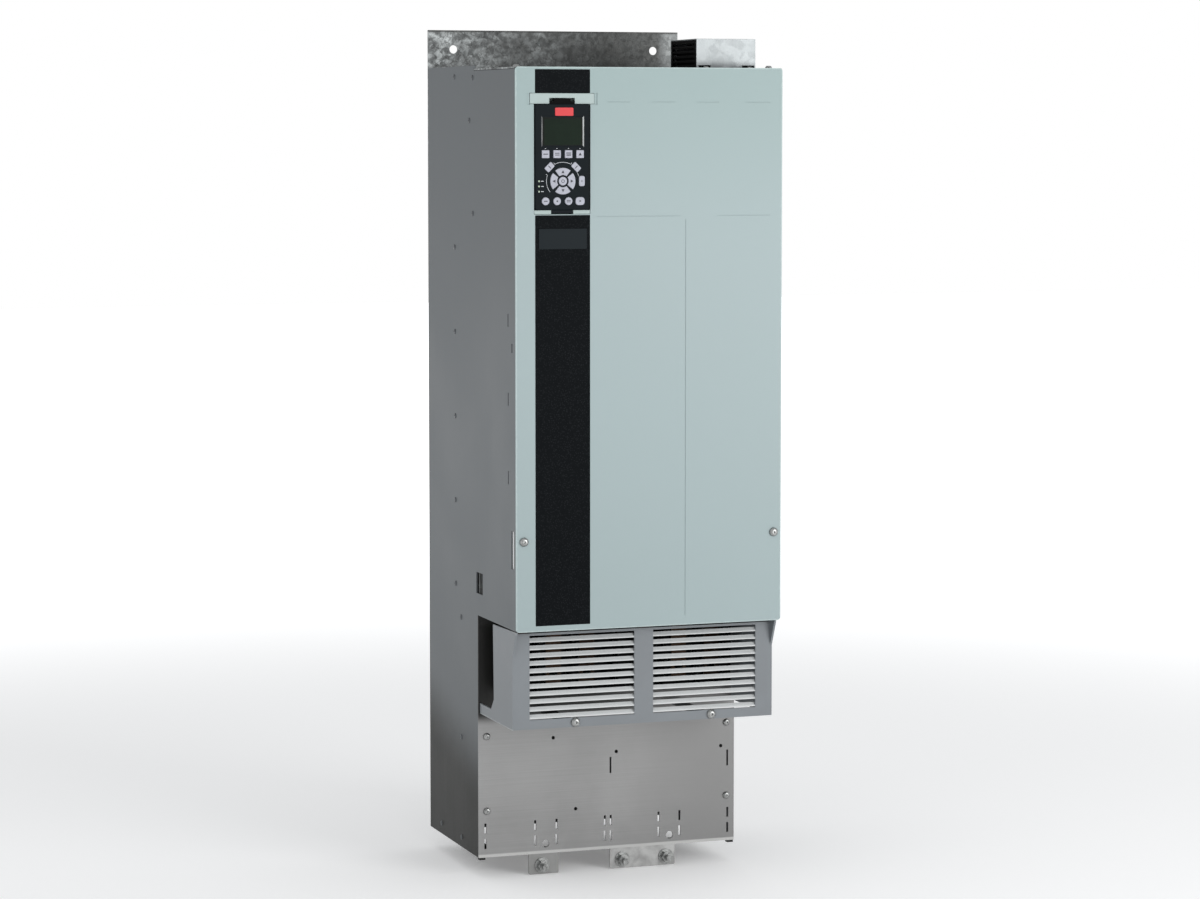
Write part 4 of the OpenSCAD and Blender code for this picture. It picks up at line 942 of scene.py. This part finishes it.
head_radius = maths(screw_tree, "MULTIPLY", starts["Head diameter"], 0.5)
disc_node = add(screw_tree, "GeometryNodeMeshCircle",
                {"Vertices": starts["Sides"], "Radius": head_radius}, fill_type="NGON")
whole = add(screw_tree, "FunctionNodeInputBool", boolean=True).outputs[0]
shape, top = disc_node.outputs[0], whole
for share, scale in ((0.45, 0.96), (0.3, 0.86), (0.25, 0.72)):
    shape, top = step_up(shape, top, maths(screw_tree, "MULTIPLY", starts["Head height"], share),
                         scale)
shape, top = step_up(shape, top, 0.0, starts["Socket"])
where = add(screw_tree, "GeometryNodeInputPosition").outputs[0]
parts = add(screw_tree, "ShaderNodeSeparateXYZ", {0: where}).outputs
around = maths(screw_tree, "ARCTAN2", parts[1], parts[0])
lobes = maths(screw_tree, "MULTIPLY_ADD",
              maths(screw_tree, "COSINE", maths(screw_tree, "MULTIPLY", around, 6.0)),
              starts["Lobe depth"], 1.0)
star = add(screw_tree, "ShaderNodeVectorMath", {0: where, "Scale": lobes}, operation="SCALE")
star_parts = add(screw_tree, "ShaderNodeSeparateXYZ", {0: star.outputs[0]}).outputs
flat_star = add(screw_tree, "ShaderNodeCombineXYZ",
                {0: star_parts[0], 1: star_parts[1], 2: parts[2]})
lobed = add(screw_tree, "GeometryNodeSetPosition",
            {"Geometry": shape, "Selection": top, "Position": flat_star.outputs[0]})
deep = maths(screw_tree, "MULTIPLY", starts["Head height"], -0.55)
shape, top = step_up(lobed.outputs[0], top, deep, 0.92)
under = add(screw_tree, "GeometryNodeFlipFaces", {0: disc_node.outputs[0]})
closed = add(screw_tree, "GeometryNodeJoinGeometry")
for part in (shape, under.outputs[0]):
    screw_tree.links.new(part, closed.inputs[0])
merged = add(screw_tree, "GeometryNodeMergeByDistance", {0: closed.outputs[0], "Distance": 1e-6})
shank = add(screw_tree, "GeometryNodeMeshCylinder",
            {"Vertices": 16,
             "Radius": maths(screw_tree, "MULTIPLY", starts["Shank diameter"], 0.5),
             "Depth": starts["Shank length"]})
sunk = add(screw_tree, "ShaderNodeCombineXYZ",
           {2: maths(screw_tree, "MULTIPLY", starts["Shank length"], -0.5)})
below = add(screw_tree, "GeometryNodeTransform",
            {"Geometry": shank.outputs[0], "Translation": sunk.outputs[0]})
screw_shape = add(screw_tree, "GeometryNodeJoinGeometry")
for part in (merged.outputs[0], below.outputs[0]):
    screw_tree.links.new(part, screw_shape.inputs[0])
end_tree(screw_tree, ends, on_points(screw_tree, starts, screw_shape.outputs[0]),
         starts["Material"])
print("the screw tree has", len(screw_tree.nodes), "nodes")

# %% Screws and rivets in place
def boxes_of_solids(node):
    """The low and high corners of the separate closed solids in a node's mesh."""
    shape = bmesh.new()
    shape.from_mesh(frame["nodes"][node].data)
    bmesh.ops.remove_doubles(shape, verts=shape.verts, dist=0.002 * MM)
    boxes, seen = [], set()
    for start in shape.verts:
        if start in seen:
            continue
        group, waiting = [], [start]
        seen.add(start)
        while waiting:
            vertex = waiting.pop()
            group.append(vertex.co.copy())
            for edge in vertex.link_edges:
                other = edge.other_vert(vertex)
                if other not in seen:
                    seen.add(other)
                    waiting.append(other)
        boxes.append((Vector([min(spot[i] for spot in group) for i in range(3)]),
                      Vector([max(spot[i] for spot in group) for i in range(3)])))
    shape.free()
    return boxes


def seats(boxes, axis, sign, height):
    """Where each head sits: the middle of its box, on the surface under the head."""
    found = []
    for low, high in boxes:
        place = (low + high) / 2
        outer = high[axis] if sign > 0 else low[axis]
        place[axis] = outer - sign * height
        way = Vector((0, 0, 0))
        way[axis] = sign
        found.append((tuple(place), tuple(way)))
    return found


def screws(name, spots, body="chassis", replaced=(), material=None, slot="plated_steel",
           **sizes):
    values = {label.replace("_", " ").capitalize(): value for label, value in sizes.items()}
    material = material or plated_steel
    mesh = grow(screw_tree, points(spots), Material=material, **values)
    made = piece(name, mesh, material, body, replaced)
    print(f"{name}: {len(spots)} heads, {len(made.data.polygons)} faces")


solids = boxes_of_solids("panel_screws")
side = [box for box in solids if (box[1] - box[0]).x < 5 * MM]
roof_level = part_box("top_plate")[0].z - 10 * MM
plate = [box for box in solids if (box[1] - box[0]).x >= 5 * MM and box[0].z < roof_level]
roof = [box for box in solids if box[0].z > roof_level]
rivets = (seats([box for box in side if box[0].x < 0], 0, -1, 1.2 * MM)
          + seats([box for box in side if box[0].x > 0], 0, 1, 1.2 * MM))
screws("side_rivets", rivets, head_diameter=7 * MM, head_height=1.2 * MM, socket=0.4,
       lobe_depth=0.0, shank_diameter=3.2 * MM, shank_length=2.4 * MM, seed=3,
       material=bright_zinc, slot="bright_zinc")
screws("plate_screws", seats(plate, 1, -1, 3 * MM), head_diameter=9.5 * MM,
       head_height=3 * MM, shank_diameter=5 * MM, shank_length=6 * MM, seed=5)
top_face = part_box("top_plate")[1].z
tall = [box for box in roof if box[1].z > top_face + 4.5 * MM]
screws("roof_screws", seats([box for box in roof if box not in tall], 2, 1, 3.2 * MM),
       replaced=["panel_screws"], head_diameter=8.5 * MM, head_height=3.2 * MM,
       shank_diameter=4.5 * MM, shank_length=5.5 * MM, seed=7)
screws("flange_screws", seats(tall, 2, 1, 5.5 * MM), head_diameter=9 * MM,
       head_height=5.5 * MM, shank_diameter=4.5 * MM, shank_length=5.5 * MM, seed=8)
for node, body, width, seed in (("cover_screws", "front_cover", 11.5, 9),
                                ("terminal_cover_screws", "terminal_cover", 12, 11)):
    screws(node + "_finished", seats(boxes_of_solids(node), 1, -1, 3.5 * MM), body, [node],
           head_diameter=width * MM, head_height=3.5 * MM, shank_diameter=4.8 * MM,
           shank_length=20 * MM if body == "front_cover" else 9 * MM, seed=seed)
cans = [(low + high) / 2 for low, high in boxes_of_solids("capacitor_bank")]
screws("capacitor_screws", [((can.x + side * 11 * MM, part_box("dc_bus_bars")[0].y, can.z),
                             (0, -1, 0)) for can in cans for side in (-1, 1)],
       head_diameter=13 * MM, head_height=5 * MM, shank_diameter=5 * MM,
       shank_length=3 * MM, seed=13)
softened("ground_studs", 0.3 * MM, plated_steel)

# %% [markdown]
# ### Terminal cover
# The lower cover is a painted sheet box with two louvre blocks. Its shell is the node's own
# shape, with a window for each block cut out by a Boolean modifier, and the plain blocks
# behind the windows cut away too. The slats are a Geometry Nodes tree. A line of points, one
# per slat, carries a bent strip that is swept along the slat's length, and the edge that faces
# the room is rounded with Fillet Curve. The slats lean back as they rise, so that water runs
# off and the light catches them.

# %% Terminal cover shell and louvres
slat_tree, starts, ends = geometry_tree(
    "louvre", **{"Length": 0.139, "Pitch": 0.0096, "Depth": 0.0050, "Rise": 0.0060,
                 "Lip": 0.0016, "Fall": 0.0042, "Rounding": 0.0003, "Count": 11, "Seed": 1,
                 "Material": None})
column = add(slat_tree, "GeometryNodeMeshLine",
             {"Count": starts["Count"],
              "Offset": add(slat_tree, "ShaderNodeCombineXYZ",
                            {2: starts["Pitch"]}).outputs[0]}, mode="OFFSET")
corners = [add(slat_tree, "ShaderNodeCombineXYZ", {0: across, 1: up}).outputs[0]
           for across, up in ((0.0, 0.0), (0.0, starts["Lip"]),
                              (starts["Depth"], starts["Rise"]),
                              (starts["Depth"], starts["Fall"]))]
section = add(slat_tree, "GeometryNodeCurvePrimitiveQuadrilateral", mode="POINTS")
for label, corner in zip(("Point 1", "Point 2", "Point 3", "Point 4"), corners):
    slat_tree.links.new(corner, section.inputs[label])
rounded = add(slat_tree, "GeometryNodeFilletCurve",
              {"Curve": section.outputs[0], "Radius": starts["Rounding"],
               "Limit Radius": True}, mode="POLY")
run = add(slat_tree, "GeometryNodeCurvePrimitiveLine",
          {"End": add(slat_tree, "ShaderNodeCombineXYZ", {0: starts["Length"]}).outputs[0]})
swept = add(slat_tree, "GeometryNodeCurveToMesh",
            {"Curve": run.outputs[0], "Profile Curve": rounded.outputs[0],
             "Fill Caps": True})
upright = add(slat_tree, "GeometryNodeTransform",
              {"Geometry": swept.outputs[0], "Rotation": (math.pi, 0.0, 0.0)})
placed_slats = add(slat_tree, "GeometryNodeInstanceOnPoints",
                   {"Points": column.outputs[0], "Instance": upright.outputs[0]})
on_blocks = add(slat_tree, "GeometryNodeInstanceOnPoints",
                {"Points": starts["Geometry"], "Instance": placed_slats.outputs[0]})
end_tree(slat_tree, ends, on_blocks.outputs[0], starts["Material"])

SET_BACK = 23 * MM
SLATS = 11
SLAT_PITCH = 9.6 * MM
SLAT_OVERLAP = 0.4 * MM
WEB_HALF = 12.5 * MM
BLOCK_WIDTH = 138 * MM

term_face = cover_low.y + SET_BACK
block_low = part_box("terminal_cover")[0].z + 11.5 * MM
block_high = block_low + SLATS * SLAT_PITCH
block_x = [(-WEB_HALF - BLOCK_WIDTH, -WEB_HALF), (WEB_HALF, WEB_HALF + BLOCK_WIDTH)]
windows = bmesh.new()
for low, high in block_x:
    box_between((low, term_face - MM, block_low), (high, term_face + 2.4 * MM, block_high),
                windows)
shell = cut(merged_copy("terminal_cover"), windows)
behind = bmesh.new()
for low, high in block_x:
    box_between((low - 0.8 * MM, term_face + 2.5 * MM, block_low - 0.8 * MM),
                (high + 0.8 * MM, term_face + 9 * MM, block_high + 0.8 * MM), behind)
shell = cut(shell, behind)
shell_edges = round_edges(shell, 0.6 * MM, 2,
                          lambda edge: edge.calc_length() > 3 * MM, angle=50)
piece("terminal_cover_shell", shell, terminal_paint, "terminal_cover", ["terminal_cover"])
louvres = grow(slat_tree,
               points([((low - SLAT_OVERLAP, term_face + 0.4 * MM, block_low + 0.6 * MM),
                        (0, 0, 1)) for low, _ in block_x]),
               Length=BLOCK_WIDTH + 2 * SLAT_OVERLAP, Pitch=SLAT_PITCH, Count=SLATS,
               Material=slat_paint_painted_highlight)
made = piece("louvre_slats", louvres, slat_paint_painted_highlight, "terminal_cover", [])
print(f"shell with {shell_edges} rounded edges, slats with {len(made.data.polygons)} faces")

# %% [markdown]
# ### Keypad
# The keypad is a moulded shell with a window, sixteen keys and three small lamps, held in a
# light frame. The shell's outer edge is generously rounded and everything inside its face is
# nearly sharp, which is how such housings are moulded. The printed arcs are thin raised bands,
# about as thick as screen-printed ink with its gloss, and are drawn as real geometry because
# this is the only print on the housing.

# %% Cradle and keypad shells
softened("lcp_cradle", 0.45 * MM, cradle_plastic, 2)
softened("lcp_back", 0.5 * MM, keypad_plastic, 2)
softened("lcp_latch", 0.35 * MM, black_plastic, 2)
pad_low, pad_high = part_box("lcp_housing")
pad_x, pad_z, pad_face = (pad_low.x + pad_high.x) / 2, (pad_low.z + pad_high.z) / 2, pad_low.y


def on_pad_rim(edge):
    spots = [vertex.co for vertex in edge.verts]
    return (all(spot.y < pad_face + 0.05 * MM for spot in spots)
            and all(min(spot.x - pad_low.x, pad_high.x - spot.x, spot.z - pad_low.z,
                        pad_high.z - spot.z) < 1.2 * MM for spot in spots))


pad_shape = merged_copy("lcp_housing")
rim = round_edges(pad_shape, 1.3 * MM, 4, on_pad_rim)
fine = round_edges(pad_shape, 0.12 * MM, 1,
                   lambda edge: all(vertex.co.y < pad_face + 0.2 * MM
                                    for vertex in edge.verts), angle=60)
piece("keypad_shell", pad_shape, keypad_plastic, "keypad", ["lcp_housing"])
print(f"keypad shell: {rim} rim edges and {fine} fine edges")

# %% [markdown]
# ### Display
# The window is a dark clear panel over an unlit liquid-crystal display, which looks like dull
# olive glass. A sloped clear frame round it has painted light and shade: its right slope is a
# pale painted highlight, its left one a dim painted shade, and the top one is dark keypad plastic
# as painted shadow. The frame is mitred like a picture frame, one quad to a side. The red badge
# above the window is left blank.

# %% Display, frame and badge
window_middle = Vector((pad_x, 0, pad_z + 31.2 * MM))
glass_low, glass_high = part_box("lcp_window")
glass = prism(rounded_rectangle((window_middle.x, window_middle.z), 53.6 * MM, 36.6 * MM,
                                0.8 * MM), glass_high.y, glass_low.y)
piece("display_window", glass, display_dark, "keypad", ["lcp_window"])
pane = prism(rounded_rectangle((window_middle.x + 0.4 * MM, window_middle.z - 0.6 * MM),
                               47.6 * MM, 31.4 * MM, 0.6 * MM),
             glass_low.y, glass_low.y - 0.06 * MM)
piece("display_pane", pane, display_olive, "keypad", [])


def sloped_frame(outer, inner, front, back, thickness):
    """A mitred frame: each side slopes from the outer edge in front to the inner one behind."""
    shape = bmesh.new()
    rings = []
    for (width, height), y in ((outer, front), (inner, back), (inner, back + thickness),
                               (outer, front + thickness)):
        rings.append([shape.verts.new((window_middle.x + sx * width / 2, y,
                                       window_middle.z + sz * height / 2))
                      for sx, sz in ((-1, -1), (1, -1), (1, 1), (-1, 1))])
    for first, second in zip(rings, rings[1:] + rings[:1]):
        for i in range(4):
            j = (i + 1) % 4
            face = shape.faces.new((first[i], first[j], second[j], second[i]))
            # Right slope takes the painted highlight tone, left slope the painted shade tone; top
            # and bottom take the dark keypad plastic, painted shadow on the top slope.
            face.material_index = {1: 1, 3: 2}.get(i, 0)
    bmesh.ops.recalc_face_normals(shape, faces=shape.faces)
    return shape


frame_shape = sloped_frame((54.8 * MM, 37.8 * MM), (51.8 * MM, 34.4 * MM),
                           pad_face - 0.12 * MM, glass_low.y - 0.05 * MM, 0.35 * MM)
piece("display_frame", frame_shape, [keypad_plastic, bezel_painted_highlight, bezel_painted_shade], "keypad", [])
badge = prism(rounded_rectangle((pad_x + 2 * MM, pad_z + 55.2 * MM), 23.5 * MM, 10 * MM,
                                1.2 * MM), pad_face + 0.2 * MM, pad_face - 0.35 * MM)
round_edges(badge, 0.15 * MM, 2, lambda edge: all(
    vertex.co.y < pad_face for vertex in edge.verts))
piece("blank_badge", badge, badge_red, "keypad", [])
print("window, pane, frame and blank badge")

# %% Printed arcs and dashes
INK = 0.07 * MM
nav = (pad_x, pad_z - 29.3 * MM)
ink = bmesh.new()
for radius, start, end in ((21.0, 159, 219), (23.0, 63, 117), (21.4, 16, 30)):
    prism(arc_band(nav, (radius - 0.22) * MM, (radius + 0.22) * MM, start, end),
          pad_face + INK, pad_face - INK, ink)
for angle, radius in ((159, 21.0), (63, 23.0), (117, 23.0)):
    turn = math.radians(angle)
    tick = (nav[0] + (radius + 1.1) * MM * math.cos(turn),
            nav[1] + (radius + 1.1) * MM * math.sin(turn))
    prism(rounded_rectangle(tick, 2.4 * MM, 0.45 * MM, 0.1 * MM, 2, turn),
          pad_face + INK, pad_face - INK, ink)
for i in range(3):
    prism(rounded_rectangle((pad_x - 26.2 * MM, nav[1] - i * 6.3 * MM), 3.4 * MM, 0.7 * MM,
                            0.2 * MM, 2), pad_face + INK, pad_face - INK, ink)
for i in range(4):
    prism(rounded_rectangle((pad_x + (i - 1.5) * 14.8 * MM, pad_z + 10.4 * MM), 1.4 * MM,
                            0.6 * MM, 0.2 * MM, 2), pad_face + INK, pad_face - INK, ink)
piece("printed_marks", ink, face_ink, "keypad", [])
print("arcs, ticks and dashes, no lettering")

# %% [markdown]
# ### Keys
# The keys are soft silicone with a crowned edge. Each is the node's own solid with its front
# edge rounded, and a plain mark is laid on it: bars on the four soft keys, triangles on the
# arrows, dots and rings elsewhere. Marks are raised by less than a tenth of a millimetre, as
# printed ink with a hard coat is. They ride with their key.

# %% Keys and their marks
def triangle(centre, size, turn):
    return [(centre[0] + size * math.cos(turn + step), centre[1] + size * math.sin(turn + step))
            for step in (0, math.radians(125), math.radians(235))]


def ring(centre, inner, outer):
    """A ring as two half bands, because a prism's outline has no hole."""
    return [arc_band(centre, inner, outer, start, start + 180, 10) for start in (0, 180)]


def bar(centre, width, height, turn=0.0):
    return rounded_rectangle(centre, width * MM, height * MM, 0.2 * MM, 2, turn)


def marks_of(node, spot):
    """Plain outlines for one key, about the middle of its cap."""
    x, z = spot
    if node == "key_status":
        return [bar((x, z), 6.0, 1.1)]
    if node == "key_quick_menu":
        return [bar((x, z + side * 1.1 * MM), 6.0, 0.9) for side in (-1, 1)]
    if node == "key_main_menu":
        return [bar((x, z + side * 1.5 * MM), 6.0, 0.8) for side in (-1, 0, 1)]
    if node == "key_alarm_log":
        return [triangle((x, z - 0.3 * MM), 2.4 * MM, math.radians(90))]
    turns = {"key_up": 90, "key_down": 270, "key_left": 180, "key_right": 0}
    if node in turns:
        return [triangle((x, z), 2.3 * MM, math.radians(turns[node]))]
    if node == "key_back":
        return [bar((x, z), 4.6, 1.0, math.radians(135))]
    if node == "key_cancel":
        return [bar((x, z), 4.6, 1.0, math.radians(45))]
    if node == "key_info":
        return [disc((x, z), 0.8 * MM, 16)]
    if node == "key_ok":
        return ring((x, z), 1.5 * MM, 2.1 * MM)
    if node == "key_hand_on":
        return [bar((x, z), 5.0, 1.0)]
    if node == "key_off":
        return [disc((x, z), 1.1 * MM, 20)]
    if node == "key_auto_on":
        return [bar((x, z + side * 0.9 * MM), 5.0, 0.8) for side in (-1, 1)]
    return [triangle((x, z), 1.7 * MM, 0.0)]


key_nodes = [node for node in frame["nodes"] if node.startswith("key_")]
for node in key_nodes:
    shape = merged_copy(node)
    face_y = min(vertex.co.y for vertex in shape.verts)
    round_edges(shape, 0.5 * MM, 3, lambda edge: all(
        vertex.co.y < face_y + 0.05 * MM for vertex in edge.verts))
    caps = [vertex.co for vertex in shape.verts if vertex.co.y < face_y + 0.05 * MM]
    if node in ("key_back", "key_cancel"):
        side = -1 if node == "key_back" else 1
        spot = (nav[0] + side * 24.2 * MM * math.cos(math.radians(45)),
                nav[1] + 24.2 * MM * math.sin(math.radians(45)))
    else:
        spot = tuple((min(co[i] for co in caps) + max(co[i] for co in caps)) / 2
                     for i in (0, 2))
    before = set(shape.faces)
    for outline in marks_of(node, spot):
        prism(outline, face_y + INK, face_y - INK, shape)
    for face in shape.faces:
        face.material_index = 0 if face in before else 1
    piece(node + "_cap", shape, [key_plastic, key_ink], frame["nodes"][node]["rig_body"],
          [node])
print(len(key_nodes), "keys, each on its own body")

# %% [markdown]
# ### Finishes of the parts that keep their own shape
# Everything else keeps the shape of its node and only gets its finish: boards, bars, heat
# sink, modules, fans and the small lamps.

# %% Finish table
for node, material in (
        ("corner_blocks", black_rubber), ("indicator_lights", lamp_plastic),
        ("base_plate", inner_zinc_painted_shade), ("heat_sink", heat_sink_aluminium),
        ("power_modules", module_case), ("rectifier_modules", module_case),
        ("capacitor_bank", can_sleeve), ("dc_bus_bars", copper_bar),
        ("line_bus_bars", copper_bar), ("motor_bus_bars", copper_bar),
        ("terminal_block", black_plastic), ("current_sensors", sensor_blue),
        ("power_card", power_board), ("control_card", control_board),
        ("card_posts", brass_post), ("control_tray", black_plastic),
        ("lcp_board", board_green), ("duct_fan_frame", black_plastic),
        ("duct_fan_rotor", rotor_black), ("top_fan_frame", black_plastic),
        ("top_fan_rotor", rotor_black)):
    part = frame["nodes"][node]
    for slot in part.material_slots:
        slot.material = material
print("every node that is left has a finish")

# %% End of the scene
print("scene built")
